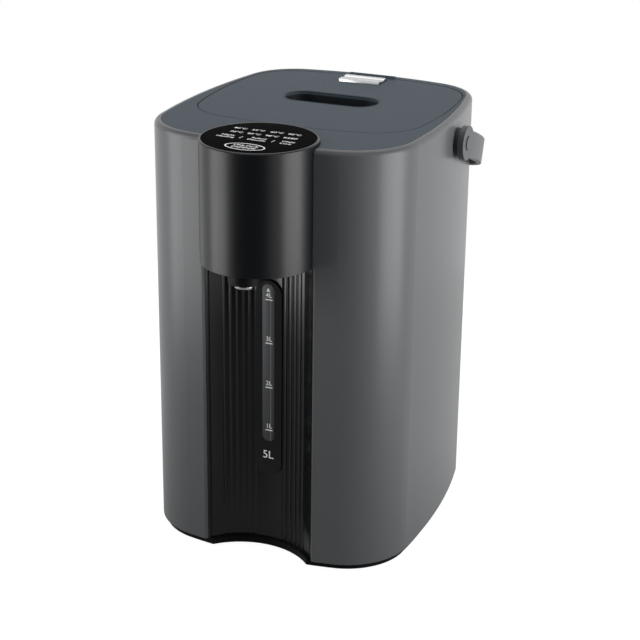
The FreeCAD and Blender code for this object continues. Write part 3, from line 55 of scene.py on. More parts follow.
class Slot(Enum):
    """The record's material slots."""

    PAINT = "satin_grey_paint"
    SLATE = "slate_plastic"
    HEAD = "head_plastic"
    GLOSS = "black_gloss_plastic"
    BLACK = "black_plastic"
    HANDLE = "handle_plastic"
    GLASS = "black_glass"
    CLEAR = "clear_plastic"
    POLISHED = "polished_metal"
    TANK = "tank_steel"
    PLAIN = "plain_steel"
    HEATER = "heater_aluminium"
    SILICONE = "silicone"
    FEET = "foot_rubber"
    FELT = "insulation"
    INNER = "inner_plastic"
    BOARD = "circuit_board"
    CABLE = "cable_sleeve"
    BRASS = "contact_brass"


class Body(Enum):
    """The bodies that pieces ride on."""

    POT = "pot"
    LID = "lid"
    LEVER = "release_lever"


class Facing(Enum):
    """The way a line of print faces."""

    UP = "up"
    FRONT = "front"


class Wire:
    """A shader socket that sums and products extend with Math nodes."""

    def __init__(self, graph: "Graph", socket: bpy.types.NodeSocket) -> None:
        """Holds one output socket of a graph."""
        self.graph = graph
        self.socket = socket

    def _math(self, operation: str, other: "Wire | float", swapped: bool = False) -> "Wire":
        """Adds one Math node.

        Args:
            operation: The Math node's operation.
            other: The second value.
            swapped: Whether the second value comes first.

        Returns:
            The node's value.
        """
        pair = (other, self) if swapped else (self, other)
        return self.graph.add("ShaderNodeMath", {"operation": operation}, {0: pair[0], 1: pair[1]})

    def __add__(self, other: "Wire | float") -> "Wire":
        """This value plus another."""
        return self._math("ADD", other)

    def __radd__(self, other: float) -> "Wire":
        """A number plus this value."""
        return self._math("ADD", other, swapped=True)

    def __sub__(self, other: "Wire | float") -> "Wire":
        """This value less another."""
        return self._math("SUBTRACT", other)

    def __rsub__(self, other: float) -> "Wire":
        """A number less this value."""
        return self._math("SUBTRACT", other, swapped=True)

    def __mul__(self, other: "Wire | float") -> "Wire":
        """This value times another."""
        return self._math("MULTIPLY", other)

    def __rmul__(self, other: float) -> "Wire":
        """A number times this value."""
        return self._math("MULTIPLY", other, swapped=True)

    def above(self, level: float) -> "Wire":
        """One where this value is greater than a level, and zero elsewhere."""
        return self._math("GREATER_THAN", level)

    def held(self) -> "Wire":
        """This value held between zero and one."""
        return self._math("MAXIMUM", 0.0)._math("MINIMUM", 1.0)

    def size(self) -> "Wire":
        """This value without its sign."""
        return self._math("ABSOLUTE", 0.0)

    def greatest(self, other: "Wire | float") -> "Wire":
        """The greater of this value and another."""
        return self._math("MAXIMUM", other)


class Graph:
    """The node tree of one material or world."""

    def __init__(self, tree: bpy.types.NodeTree) -> None:
        """Empties the tree."""
        self.tree = tree
        tree.nodes.clear()

    def node(self, kind: str, settings: dict | None = None, inputs: dict | None = None) -> bpy.types.Node:
        """Adds one node.

        Args:
            kind: The node's type.
            settings: Its own settings, by name.
            inputs: Values or wires by socket name or number.

        Returns:
            The node.
        """
        made = self.tree.nodes.new(kind)
        for key, value in (settings or {}).items():
            setattr(made, key, value)
        for key, value in (inputs or {}).items():
            if isinstance(value, Wire):
                self.tree.links.new(value.socket, made.inputs[key])
            else:
                made.inputs[key].default_value = value
        return made

    def add(self, kind: str, settings: dict | None = None, inputs: dict | None = None,
            output: str | int = 0) -> Wire:
        """Adds one node and returns one of its outputs as a wire."""
        return Wire(self, self.node(kind, settings, inputs).outputs[output])

    def place(self, stretch: Stretch = EVEN) -> Wire:
        """The point in the object's own metres, stretched along its axes."""
        point = self.add("ShaderNodeTexCoord", output="Object")
        return self.add("ShaderNodeMapping", inputs={"Vector": point, "Scale": stretch})

    def noise(self, scale: float, detail: float = 2.0, stretch: Stretch = EVEN,
              rough: float = 0.5) -> Wire:
        """A noise value from 0 to 1, with the scale in cells per metre."""
        return self.add("ShaderNodeTexNoise", None, {
            "Vector": self.place(stretch), "Scale": scale, "Detail": detail, "Roughness": rough})

    def cells(self, scale: float) -> Wire:
        """The distance to the nearest of many scattered points, with the scale in cells per metre."""
        return self.add("ShaderNodeTexVoronoi", None, {"Vector": self.place(), "Scale": scale})

    def blend(self, share: Wire, low: "Color | Wire", high: Color) -> Wire:
        """A colour between two, by a share from 0 to 1."""
        first = low if isinstance(low, Wire) else (*low, 1.0)
        return self.add("ShaderNodeMix", {"data_type": "RGBA"}, {
            0: share, 6: first, 7: (*high, 1.0)}, 2)

    def axes(self) -> tuple[Wire, Wire, Wire]:
        """The point's own x, y and z, in metres."""
        parts = self.node("ShaderNodeSeparateXYZ", None, {0: self.place()})
        return tuple(Wire(self, output) for output in parts.outputs)

    def rays(self, *kinds: str) -> list[Wire]:
        """One for each named kind of ray, and zero for the others."""
        path = self.node("ShaderNodeLightPath")
        return [Wire(self, path.outputs[kind]) for kind in kinds]

    def bump(self, height: Wire, depth: float, normal: Wire | None = None) -> Wire:
        """A normal raised by a height from 0 to 1, with the depth in metres."""
        inputs = {"Height": height, "Distance": depth, "Strength": 1.0}
        if normal is not None:
            inputs["Normal"] = normal
        return self.add("ShaderNodeBump", None, inputs)


@dataclass(frozen=True)
class Finish:
    """A moulded surface: fine grain, slight cloudiness and softened edges.

    Lengths are in metres and scales in cells per metre. The roughness starts a little under
    its mean, and the clouds and the grain raise it.
    """

    name: str
    color: Color
    roughness: float
    metallic: float = 0.0
    specular: float = 0.5
    coat: float = 0.0
    coat_roughness: float = 0.1
    grain: float = 2200.0
    depth: float = 3e-6
    cloud: float = 0.05
    cloud_scale: float = 28.0
    cloud_rough: float = 0.05
    grain_rough: float = 0.03
    smoother: float = 0.04
    edge: float = 0.25 * MM
    bevel_samples: int = 4
    # glow: painted light, the surface shining in its own colour though it is no lamp.
    glow: float = 0.0

    def material(self) -> bpy.types.Material:
        """Makes the material, or finds it when it is made already."""
        found = bpy.data.materials.get(self.name)
        if found is not None:
            return found
        made = bpy.data.materials.new(self.name)
        made.use_nodes = True
        graph = Graph(made.node_tree)
        shader = graph.node("ShaderNodeBsdfPrincipled", None, self.constants())
        for key, wire in self.varied(graph).items():
            graph.tree.links.new(wire.socket, shader.inputs[key])
        output = graph.node("ShaderNodeOutputMaterial")
        graph.tree.links.new(shader.outputs[0], output.inputs[0])
        return made

    def constants(self) -> dict[str, object]:
        """The values that are the same all over the surface."""
        return {"Base Color": (*self.color, 1.0), "Metallic": self.metallic, "Roughness": self.roughness,
                "Specular IOR Level": self.specular, "Coat Weight": self.coat,
                "Coat Roughness": self.coat_roughness, "Emission Color": (*self.color, 1.0),
                "Emission Strength": self.glow}

    def tones(self, low: float, high: float) -> tuple[Color, Color]:
        """The finish's colour made darker and lighter."""
        return tuple(c * low for c in self.color), tuple(min(1.0, c * high) for c in self.color)

    def varied(self, graph: Graph) -> dict[str, Wire]:
        """The sockets that change over the surface.

        Args:
            graph: The material's graph.

        Returns:
            A wire for each socket's name.
        """
        clouds = graph.noise(self.cloud_scale, detail=3.0)
        grain = graph.noise(self.grain, detail=3.0)
        low, high = self.tones(1.0 - self.cloud, 1.0 + self.cloud)
        start = self.roughness - self.smoother
        return {"Base Color": graph.blend(clouds, low, high),
                "Roughness": start + clouds * self.cloud_rough + grain * self.grain_rough,
                "Normal": graph.bump(grain, self.depth, self.rounded(graph))}

    def rounded(self, graph: Graph) -> Wire:
        """The surface normal with its sharp edges softened."""
        return graph.add("ShaderNodeBevel", {"samples": self.bevel_samples}, {"Radius": self.edge})


@dataclass(frozen=True)
class SatinPaint(Finish):
    """Sprayed satin paint: a fine orange peel with small paler flecks of pigment."""

    peel: float = 420.0
    cloud_scale: float = 16.0
    cloud_rough: float = 0.03
    smoother: float = 0.03
    fleck_scale: float = 3400.0
    fleck_share: float = 0.3
    fleck_rough: float = 0.04

    def varied(self, graph: Graph) -> dict[str, Wire]:
        """Draws the clouds, the peel and the pigment."""
        clouds = graph.noise(self.cloud_scale)
        peel = graph.noise(self.peel)
        fleck = graph.cells(self.fleck_scale)
        low, high = self.tones(1.0 - self.cloud, 1.0 + self.cloud)
        share = clouds * (1.0 - self.fleck_share) + fleck * self.fleck_share
        start = self.roughness - self.smoother
        return {"Base Color": graph.blend(share, low, high),
                "Roughness": start + clouds * self.cloud_rough + fleck * self.fleck_rough,
                "Normal": graph.bump(peel + fleck * self.fleck_share, self.depth, self.rounded(graph))}


@dataclass(frozen=True)
class Brushed(Finish):
    """Brushed or drawn metal, with the marks running along the axes of small stretch."""

    stretch: Stretch = (1.0, 1.0, 60.0)
    smoother: float = 0.08
    line_rough: float = 0.14
    stain_scale: float = 35.0
    stain_share: float = 0.4
    stain_rough: float = 0.04
    tone_range: Point = (0.86, 1.08)

    def varied(self, graph: Graph) -> dict[str, Wire]:
        """Puts fine lines in the colour, the roughness and the normal."""
        lines = graph.noise(self.grain, detail=4.0, stretch=self.stretch, rough=0.65)
        stain = graph.noise(self.stain_scale, detail=3.0)
        low, high = self.tones(*self.tone_range)
        share = lines * (1.0 - self.stain_share) + stain * self.stain_share
        start = self.roughness - self.smoother
        return {"Base Color": graph.blend(share, low, high),
                "Roughness": start + lines * self.line_rough + stain * self.stain_rough,
                "Normal": graph.bump(lines, self.depth, self.rounded(graph))}


@dataclass(frozen=True)
class Felted(Finish):
    """Matted fibre, with a rough nap."""

    stretch: Stretch = (1.0, 1.0, 2.5)
    lump_scale: float = 90.0
    lump_share: float = 0.3
    tone_range: Point = (0.7, 1.15)

    def varied(self, graph: Graph) -> dict[str, Wire]:
        """Mixes a fine nap with soft lumps."""
        nap = graph.noise(self.grain, detail=6.0, stretch=self.stretch, rough=0.75)
        lumps = graph.noise(self.lump_scale, detail=4.0)
        low, high = self.tones(*self.tone_range)
        share = nap * (1.0 - self.lump_share) + lumps * self.lump_share
        return {"Base Color": graph.blend(share, low, high),
                "Normal": graph.bump(nap + lumps, self.depth)}


@dataclass(frozen=True)
class Board(Finish):
    """A lacquered circuit board with copper tracks under the lacquer."""

    track: Color = (0.07, 0.30, 0.13)
    track_scale: float = 180.0
    track_height: float = 0.5
    hole_scale: float = 420.0
    hole_height: float = 0.2
    hole_rough: float = 0.15

    def varied(self, graph: Graph) -> dict[str, Wire]:
        """Draws the tracks with a brick pattern and the holes with cells."""
        tracks = graph.add("ShaderNodeTexBrick", None, {
            "Vector": graph.place(), "Scale": self.track_scale, "Mortar Size": 0.03,
            "Brick Width": 0.7, "Row Height": 0.25}, "Fac")
        holes = graph.cells(self.hole_scale)
        height = tracks * self.track_height + holes * self.hole_height
        return {"Base Color": graph.blend(tracks, self.color, self.track),
                "Roughness": self.roughness + holes * self.hole_rough,
                "Normal": graph.bump(height, self.depth)}


@dataclass(frozen=True)
class Polished(Finish):
    """A hard polished surface with a faint smear that only shows in its gloss."""

    smear_scale: float = 45.0
    smear_stretch: Stretch = (1.0, 2.2, 1.0)
    smear_rough: float = 0.03
    film_level: float = 0.55
    film_rough: float = 0.015

    def varied(self, graph: Graph) -> dict[str, Wire]:
        """Smears the roughness, with a thin film where the smear is thick."""
        smear = graph.noise(self.smear_scale, detail=5.0, stretch=self.smear_stretch)
        film = smear.above(self.film_level)
        waves = graph.noise(self.grain, detail=1.0)
        return {"Roughness": self.roughness + film * self.film_rough + smear * self.smear_rough,
                "Normal": graph.bump(waves, self.depth, self.rounded(graph))}


@dataclass(frozen=True)
class Clear(Finish):
    """Clear plastic."""

    transmission: float = 1.0
    refraction: float = 1.49
    flow_scale: float = 60.0
    flow_stretch: Stretch = (1.0, 1.0, 0.2)
    flow_rough: float = 0.05

    def constants(self) -> dict[str, object]:
        """Adds how the plastic lets light through."""
        return {**super().constants(), "Transmission Weight": self.transmission,
                "IOR": self.refraction}

    def varied(self, graph: Graph) -> dict[str, Wire]:
        """Gives the clear plastic the flow marks of its moulding."""
        flow = graph.noise(self.flow_scale, stretch=self.flow_stretch)
        return {"Roughness": self.roughness + flow * self.flow_rough,
                "Normal": graph.bump(flow, self.depth)}


@dataclass(frozen=True)
class SightStrip(Finish):
    """The smoked gauge strip: paler up its height, with a painted highlight where the edge of the tube
    behind it catches the light.
    """

    # line: the colour of the painted highlight on the edge of the tube behind the strip.
    line: Color = (0.20, 0.205, 0.21)
    glint_x: float = 1.9 * MM
    glint_half: float = 0.35 * MM
    tone_range: Point = (0.8, 1.5)
    tone_rise: float = 6.0
    tone_start: float = 0.4
    cloud_scale: float = 70.0
    cloud_rough: float = 0.06

    def varied(self, graph: Graph) -> dict[str, Wire]:
        """Draws the tube's edge and the slow change of tone."""
        across, _, up = graph.axes()
        # The painted highlight: a pale stripe where the tube's edge behind the strip catches the light.
        line = 1.0 - (across - self.glint_x).size().above(self.glint_half)
        tone = graph.blend(up * self.tone_rise - self.tone_start, *self.tones(*self.tone_range))
        clouds = graph.noise(self.cloud_scale)
        waves = graph.noise(self.grain, detail=1.0)
        return {"Base Color": graph.blend(line, tone, self.line),
                "Roughness": self.roughness + clouds * self.cloud_rough,
                "Normal": graph.bump(waves, self.depth, self.rounded(graph))}


FINISHES: dict[Slot, Finish] = {
    Slot.PAINT: SatinPaint("satin_grey_paint_look", (0.096, 0.100, 0.103), 0.31, specular=0.32,
                           depth=6e-6, cloud=0.03, edge=0.5 * MM),
    Slot.SLATE: Finish("slate_plastic_look", (0.071, 0.093, 0.115), 0.48, specular=0.06,
                       grain=2600.0, depth=4e-6, cloud=0.03, edge=0.4 * MM),
    Slot.HEAD: Finish("head_plastic_look", (0.006, 0.0065, 0.0075), 0.31, specular=0.27,
                      grain=1800.0, depth=2e-6, edge=0.4 * MM),
    Slot.GLOSS: Finish("black_gloss_look", (0.003, 0.0032, 0.0036), 0.2, specular=0.45,
                       grain=1500.0, depth=2e-6, edge=0.2 * MM),
    Slot.BLACK: Finish("black_plastic_look", (0.006, 0.006, 0.007), 0.45, specular=0.07,
                       grain=1900.0, depth=9e-6),
    Slot.HANDLE: Finish("handle_plastic_look", (0.072, 0.075, 0.078), 0.45, specular=0.36,
                        grain=2100.0, depth=6e-6, cloud=0.03, edge=0.6 * MM),
    Slot.GLASS: Polished("black_glass_look", (0.0012, 0.0012, 0.0015), 0.12, specular=0.0, coat=0.03,
                         grain=60.0, depth=4e-6, edge=0.3 * MM),
    Slot.CLEAR: Clear("clear_plastic_look", (0.9, 0.93, 0.93), 0.06, depth=1e-5),
    Slot.POLISHED: Brushed("polished_metal_look", (0.86, 0.86, 0.87), 0.16, metallic=1.0,
                           grain=900.0, depth=1e-6, stretch=(0.05, 1.0, 1.0), edge=0.3 * MM),
    Slot.TANK: Brushed("tank_steel_look", (0.56, 0.56, 0.55), 0.3, metallic=1.0, grain=60.0,
                       depth=3e-6),
    Slot.PLAIN: Brushed("plain_steel_look", (0.46, 0.46, 0.47), 0.34, metallic=1.0, grain=300.0,
                        depth=4e-6, stretch=(1.0, 1.0, 8.0)),
    Slot.HEATER: Brushed("heater_aluminium_look", (0.62, 0.62, 0.63), 0.45, metallic=1.0, grain=700.0,
                         depth=3e-5, stretch=EVEN),
    Slot.SILICONE: Finish("silicone_look", (0.62, 0.62, 0.59), 0.5, grain=900.0, depth=6e-6),
    Slot.FEET: Finish("foot_rubber_look", (0.018, 0.018, 0.018), 0.75, specular=0.3, grain=1400.0,
                      depth=2e-5, cloud=0.2),
    Slot.FELT: Felted("insulation_look", (0.62, 0.60, 0.52), 0.95, specular=0.1, grain=500.0,
                      depth=4e-4),
    Slot.INNER: Finish("inner_plastic_look", (0.60, 0.60, 0.58), 0.46, grain=1700.0, depth=6e-6,
                       cloud=0.04),
    Slot.BOARD: Board("circuit_board_look", (0.012, 0.085, 0.035), 0.3, depth=3e-5),
    Slot.CABLE: Finish("cable_sleeve_look", (0.012, 0.012, 0.012), 0.5, grain=1200.0, depth=8e-6,
                       cloud=0.15),
    Slot.BRASS: Brushed("contact_brass_look", (0.60, 0.43, 0.17), 0.25, metallic=1.0, grain=500.0,
                        depth=2e-6, stretch=(1.0, 8.0, 1.0)),
}
LEVER = Brushed("lever_metal_look", (0.56, 0.565, 0.57), 0.24, metallic=1.0, grain=900.0, depth=2e-6,
                stretch=(0.05, 1.0, 1.0), edge=0.3 * MM)
STRIP = SightStrip("sight_strip_look", (0.075, 0.077, 0.080), 0.35, specular=0.12, grain=900.0,
                   depth=2e-6)
# The finger cup is slate plastic. Its near-black colour is painted shade in the hollow of the slot.
CUP_PAINTED_SHADE = Finish("cup_painted_shade_look", (0.010, 0.012, 0.015), 0.42, specular=0.3, grain=2600.0, depth=4e-6,
             edge=0.4 * MM)
# Both prints glow a little in their own colour. This is painted light, so the marks look brighter than the
# lamps make them.
WHITE_PRINT_PAINTED_GLOW = Finish("white_print_painted_glow_look", (0.80, 0.81, 0.82), 0.45, specular=0.3, grain=3000.0, depth=1e-6,
               cloud=0.03, edge=0.02 * MM, glow=0.55)
GREY_PRINT_PAINTED_GLOW = Finish("grey_print_painted_glow_look", (0.56, 0.565, 0.57), 0.45, specular=0.3, grain=3000.0,
                    depth=1e-6, cloud=0.04, edge=0.02 * MM, glow=0.35)


def arc(center: Point, radius: float, start: float, end: float, steps: int) -> list[Point]:
    """Points on an arc, with its angles in degrees."""
    turns = [math.radians(start + (end - start) * i / steps) for i in range(steps + 1)]
    return [(center[0] + radius * math.cos(t), center[1] + radius * math.sin(t)) for t in turns]


def pill(half_width: float, half_length: float, steps: int = 16) -> list[Point]:
    """An outline with straight sides and round ends, long along its second axis."""
    straight = half_length - half_width
    return (arc((0.0, straight), half_width, 0, 180, steps)
            + arc((0.0, -straight), half_width, 180, 360, steps))


def ellipse(half_x: float, half_y: float, steps: int = 96) -> list[Point]:
    """Points on an ellipse."""
    turns = [FULL_TURN * i / steps for i in range(steps)]
    return [(half_x * math.cos(t), half_y * math.sin(t)) for t in turns]


class Builder:
    """Builds meshes from sizes in millimetres."""

    SHARP = math.radians(35.0)

    @staticmethod
    def finish(name: str, shape: bmesh.types.BMesh, material: bpy.types.Material) -> bpy.types.Object:
        """Turns a bmesh into an object that is smooth but for its sharp edges.

        Args:
            name: The piece's name.
            shape: The mesh, in millimetres.
            material: The piece's material.

        Returns:
            The linked object.
        """
        bmesh.ops.scale(shape, vec=(MM, MM, MM), verts=shape.verts)
        bmesh.ops.recalc_face_normals(shape, faces=shape.faces)
        for face in shape.faces:
            face.smooth = True
        for edge in shape.edges:
            if len(edge.link_faces) == 2 and edge.calc_face_angle(0.0) > Builder.SHARP:
                edge.smooth = False
        mesh = bpy.data.meshes.new(name)
        shape.to_mesh(mesh)
        shape.free()
        mesh.materials.append(material)
        made = bpy.data.objects.new(name, mesh)
        bpy.context.scene.collection.objects.link(made)
        return made

    @staticmethod
    def loops(rings: list[list[Vector]], closed: bool = False) -> bmesh.types.BMesh:
        """Joins rings of points one after another.

        Args:
            rings: Rings with the same number of points.
            closed: Whether the last ring joins the first. Otherwise both are filled.

        Returns:
            The mesh.
        """
        shape = bmesh.new()
        rows = [[shape.verts.new(point) for point in ring] for ring in rings]
        count = len(rows[0])
        pairs = list(zip(rows, rows[1:])) + ([(rows[-1], rows[0])] if closed else [])
        for low, high in pairs:
            for i in range(count):
                j = (i + 1) % count
                shape.faces.new((low[i], low[j], high[j], high[i]))
        if not closed:
            shape.faces.new(rows[0])
            shape.faces.new(rows[-1])
        return shape

    @staticmethod
    def turned(profile: list[Point], x: float, y: float, steps: int = 128) -> bmesh.types.BMesh:
        """Turns a profile of (radius, z) points about an upright axis, with both ends filled."""
        turns = [FULL_TURN * i / steps for i in range(steps)]
        rings = [[Vector((x + r * math.cos(t), y + r * math.sin(t), z)) for t in turns]
                 for r, z in profile]
        return Builder.loops(rings)


@dataclass
class Lettering:
    """Lines of flat print gathered in one mesh."""

    facing: Facing
    level: float
    lift: float = 0.02
    bold: float = 0.03
    capital_share: float = 0.7
    shape: bmesh.types.BMesh = field(default_factory=bmesh.new)

    def spot(self, across: float, along: float) -> Vector:
        """The place of a point of the print, in millimetres."""
        if self.facing is Facing.UP:
            return Vector((across, along, self.level + self.lift))
        return Vector((across, self.level - self.lift, along))

    def write(self, words: str, across: float, along: float, height: float, spread: float = 1.0) -> None:
        """Adds one line, centred on a point.

        Args:
            words: The line.
            across: Its middle, left to right.
            along: Its middle, bottom to top.
            height: The height of a capital.
            spread: How wide the letters are for their height.
        """
        curve = bpy.data.curves.new("line", "FONT")
        curve.body = words
        curve.align_x = "CENTER"
        curve.align_y = "CENTER"
        curve.size = height / self.capital_share
        curve.offset = self.bold
        holder = bpy.data.objects.new("line", curve)
        bpy.context.scene.collection.objects.link(holder)
        bpy.context.view_layer.update()
        depsgraph = bpy.context.evaluated_depsgraph_get()
        mesh = bpy.data.meshes.new_from_object(holder.evaluated_get(depsgraph))
        first = len(self.shape.verts)
        self.shape.from_mesh(mesh)
        self.shape.verts.ensure_lookup_table()
        for vert in self.shape.verts[first:]:
            vert.co = self.spot(across + vert.co.x * spread, along + vert.co.y)
        bpy.data.objects.remove(holder)
        bpy.data.curves.remove(curve)
        bpy.data.meshes.remove(mesh)

    def band(self, outer: list[Point], inner: list[Point], across: float, along: float) -> None:
        """Adds a closed line between two outlines."""
        rows = [[self.shape.verts.new(self.spot(across + u, along + v)) for u, v in ring]
                for ring in (outer, inner)]
        for i in range(len(outer)):
            j = (i + 1) % len(outer)
            self.shape.faces.new((rows[0][i], rows[0][j], rows[1][j], rows[1][i]))

    def patch(self, corners: Sequence[Point]) -> None:
        """Adds one filled shape."""
        self.shape.faces.new([self.shape.verts.new(self.spot(u, v)) for u, v in corners])

    def piece(self, name: str, look: Finish, body: Body, slot: Slot) -> bpy.types.Object:
        """Turns the print into a piece that rides on a body.

        Args:
            name: The piece's name.
            look: Its finish.
            body: The body it rides on.
            slot: Not used.

        Returns:
            The piece.
        """
        made = Builder.finish(name, self.shape, look.material())
        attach(made, body.value)
        return made


@dataclass
class Casing:
    """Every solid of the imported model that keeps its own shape."""

    replaced: tuple[str, ...] = ("touch_panel", "level_window", "hinge_release")
    cup: str = "finger_cup"

    def dress(self) -> int:
        """Gives each node the finish of its slot, but the finger cup a near-black look of painted shade in
        place of its slate plastic.

        Returns:
            How many nodes were dressed.
        """
        count = 0
        for name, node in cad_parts.items():
            if name in self.replaced:
                continue
            for index, material in enumerate(list(node.data.materials)):
                # The finger cup gets painted shade in place of its slot's slate finish.
                look = CUP_PAINTED_SHADE if name == self.cup else FINISHES[Slot(material.name.split(".")[0])]
                node.data.materials[index] = look.material()
            count += 1
        return count


@dataclass
class ControlHead:
    """The glass on the head and the marks printed on it, in millimetres."""

    center_y: float = -105.5
    radius: float = 41.2
    hub: float = 0.4
    ring_shares: tuple[float, ...] = (0.66, 0.33)
    bottom: float = 331.0
    top: float = 332.9
    edge: float = 0.5
    letter: float = 3.1
    row_spread: float = 1.12
    first_row: tuple[str, ...] = ("40°C", "55°C", "60°C", "90°C")
    first_spots: tuple[float, ...] = (-22.6, -8.4, 6.0, 19.6)
    first_y: float = -87.5
    second_row: tuple[str, ...] = ("70°C", "85°C", "98°C", "KEEP")
    second_spots: tuple[float, ...] = (-21.2, -7.2, 6.5, 20.8)
    second_y: float = -97.7
    words: tuple[tuple[str, str], ...] = (("Night", "Heating"), ("Reboil", "Descale"), ("Child", "Lock"))
    word_spots: tuple[float, ...] = (-23.2, 0.9, 23.3)
    word_share: float = 0.92
    word_spread: float = 1.1
    upper_y: float = -107.2
    lower_y: float = -112.0
    bar_spots: tuple[float, ...] = (-12.1, 12.8)
    bar: tuple[Point, ...] = ((-0.6, -112.0), (-0.1, -112.0), (0.7, -107.0), (0.2, -107.0))
    button: Point = (0.8, -130.8)
    button_half: Point = (15.0, 8.2)
    button_line: float = 0.9
    button_words: tuple[tuple[str, float, float], ...] = (("UNLOCK", 2.4, 1.05), ("DISPENSE", -2.6, 1.0))

    def build(self) -> list[bpy.types.Object]:
        """Makes the glass and its print."""
        rim = self.radius - self.edge
        profile = ([(self.hub, self.bottom), (self.radius, self.bottom), (self.radius, self.top - self.edge)]
                   + arc((rim, self.top - self.edge), self.edge, 10, 90, 6)
                   + [(self.radius * share, self.top) for share in self.ring_shares]
                   + [(self.hub, self.top)])
        glass = Builder.finish("touch_glass", Builder.turned(profile, 0.0, self.center_y),
                               FINISHES[Slot.GLASS].material())
        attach(glass, Body.POT.value)
        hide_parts("touch_panel")
        return [glass, self.marks()]

    def marks(self) -> bpy.types.Object:
        """Prints the temperatures, the button names and the ring of the pouring button."""
        marks = Lettering(Facing.UP, self.top)
        for row, spots, y in ((self.first_row, self.first_spots, self.first_y),
                              (self.second_row, self.second_spots, self.second_y)):
            for words, x in zip(row, spots):
                marks.write(words, x, y, self.letter, self.row_spread)
        small = self.letter * self.word_share
        for (upper, lower), x in zip(self.words, self.word_spots):
            marks.write(upper, x, self.upper_y, small, self.word_spread)
            marks.write(lower, x, self.lower_y, small, self.word_spread)
        for x in self.bar_spots:
            marks.patch([(x + across, along) for across, along in self.bar])
        half_x, half_y = self.button_half
        marks.band(ellipse(half_x, half_y), ellipse(half_x - self.button_line, half_y - self.button_line),
                   *self.button)
        x, y = self.button
        for words, rise, spread in self.button_words:
            marks.write(words, x, y + rise, self.letter, spread)
        return marks.piece("touch_marks", WHITE_PRINT_PAINTED_GLOW, Body.POT, Slot.GLASS)


@dataclass
class LevelGauge:
    """The smoked sight strip in the recess and its litre marks, in millimetres."""

    front: float = -89.2
    back: float = -88.0
    bottom: float = 90.5
    top: float = 218.0
    half_width: float = 5.0
    bevel: tuple[Point, ...] = ((0.0, 0.0), (0.1, 0.075), (0.18, 0.25))
    shift: float = 1.0
    rise: float = 1.1
    levels: tuple[tuple[str, float], ...] = (("4L", 204.5), ("3L", 169.8), ("2L", 133.9), ("1L", 98.6))
    letter: float = 3.6
    letter_shift: float = -0.6
    letter_gap: float = 3.0
    dash: Point = (-3.4, 2.4)
    dash_half: float = 0.4
    full_mark: tuple[Point, ...] = ((-1.6, 212.0), (1.4, 212.0), (-0.1, 215.0))
    volume: str = "5L"
    volume_spot: Point = (-0.3, 78.8)
    volume_letter: float = 6.4

    def build(self) -> list[bpy.types.Object]:
        """Makes the strip and the print."""
        middle = (self.top + self.bottom) / 2
        half = (self.top - self.bottom) / 2
        rings = []
        for y, inset in [(self.back, 0.0)] + [(self.front - out, inset) for out, inset in self.bevel]:
            outline = pill(self.half_width - inset, half - inset)
            rings.append([Vector((u, y, middle + v)) for u, v in outline])
        strip = Builder.finish("sight_strip", Builder.loops(rings), STRIP.material())
        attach(strip, Body.POT.value)
        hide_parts("level_window")
        return [strip, self.marks()]

    def marks(self) -> bpy.types.Object:
        """Prints the litre marks, the full mark and the whole volume."""
        marks = Lettering(Facing.FRONT, self.front - self.bevel[-1][0])
        left, right = (self.shift + across for across in self.dash)
        for words, z in self.levels:
            low, high = z + self.rise - self.dash_half, z + self.rise + self.dash_half
            marks.write(words, self.shift + self.letter_shift, high + self.letter_gap, self.letter)
            marks.patch([(left, low), (right, low), (right, high), (left, high)])
        marks.patch(self.full_mark)
        marks.write(self.volume, *self.volume_spot, self.volume_letter)
        return marks.piece("gauge_marks", GREY_PRINT_PAINTED_GLOW, Body.POT, Slot.GLOSS)


@dataclass
class ReleaseLever:
    """The bright lever that lets the lid off its hinge.

    Its section gives how many millimetres each point lies behind the front and under the top:
    a raised front lip, a shallow dish and a raised rear edge.
    """

    center_x: float = -2.0
    half_width: float = 17.2
    front: float = 90.0
    top: float = 332.6
    section: tuple[Point, ...] = (
        (0.0, 4.1), (0.5, 0.9), (1.2, 0.15), (2.0, 0.0), (4.4, 0.1), (5.4, 1.4), (6.4, 1.55),
        (9.0, 1.6), (11.6, 1.5), (12.6, 1.25), (14.0, 0.35), (16.3, 0.4), (17.2, 0.9), (17.5, 1.8),
        (17.5, 4.1))
    corner: float = 0.8
    corner_steps: tuple[float, ...] = (0.0, 0.12, 0.45, 1.0)
    corner_narrowing: float = 0.05
    corner_drop: float = 0.9

    def build(self) -> list[bpy.types.Object]:
        """Makes the lever as sections along its width, drawn in at each end."""
        flat = [(self.front + back, self.top - down) for back, down in self.section]
        middle = sum(y for y, _ in flat) / len(flat)
        rings = []
        for side, steps in ((-1, reversed(self.corner_steps)), (1, self.corner_steps)):
            for step in steps:
                x = self.center_x + side * (self.half_width - self.corner * (1.0 - step))
                narrowing = self.corner * step * self.corner_narrowing
                highest = self.top - self.corner * step * self.corner_drop
                rings.append([Vector((x, y + (middle - y) * narrowing, min(z, highest))) for y, z in flat])
        lever = Builder.finish("lever_plate", Builder.loops(rings), LEVER.material())
        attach(lever, Body.LEVER.value)
        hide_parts("hinge_release")
        return [lever]


@dataclass
class LidTrim:
    """The fine rounded rim round the lid's finger slot, in millimetres."""

    x: float = -1.5
    y: float = 32.0
    half_length: float = 38.5
    half_width: float = 16.0
    top: float = 330.0
    thick: float = 0.55
    outward: float = 0.22
    sunk: float = 0.3025
    end_steps: int = 28

    def build(self) -> list[bpy.types.Object]:
        """Makes the rim as a round bead along the slot's edge."""
        rings = []
        for out, up in arc((0.0, 0.0), self.thick, 0, 330, 11):
            grown = self.outward + out
            outline = pill(self.half_width + grown, self.half_length + grown, self.end_steps)
            rings.append([Vector((self.x + v, self.y + u, self.top - self.sunk + up)) for u, v in outline])
        rim = Builder.finish("slot_rim", Builder.loops(rings, closed=True), FINISHES[Slot.SLATE].material())
        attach(rim, Body.LID.value)
        return [rim]


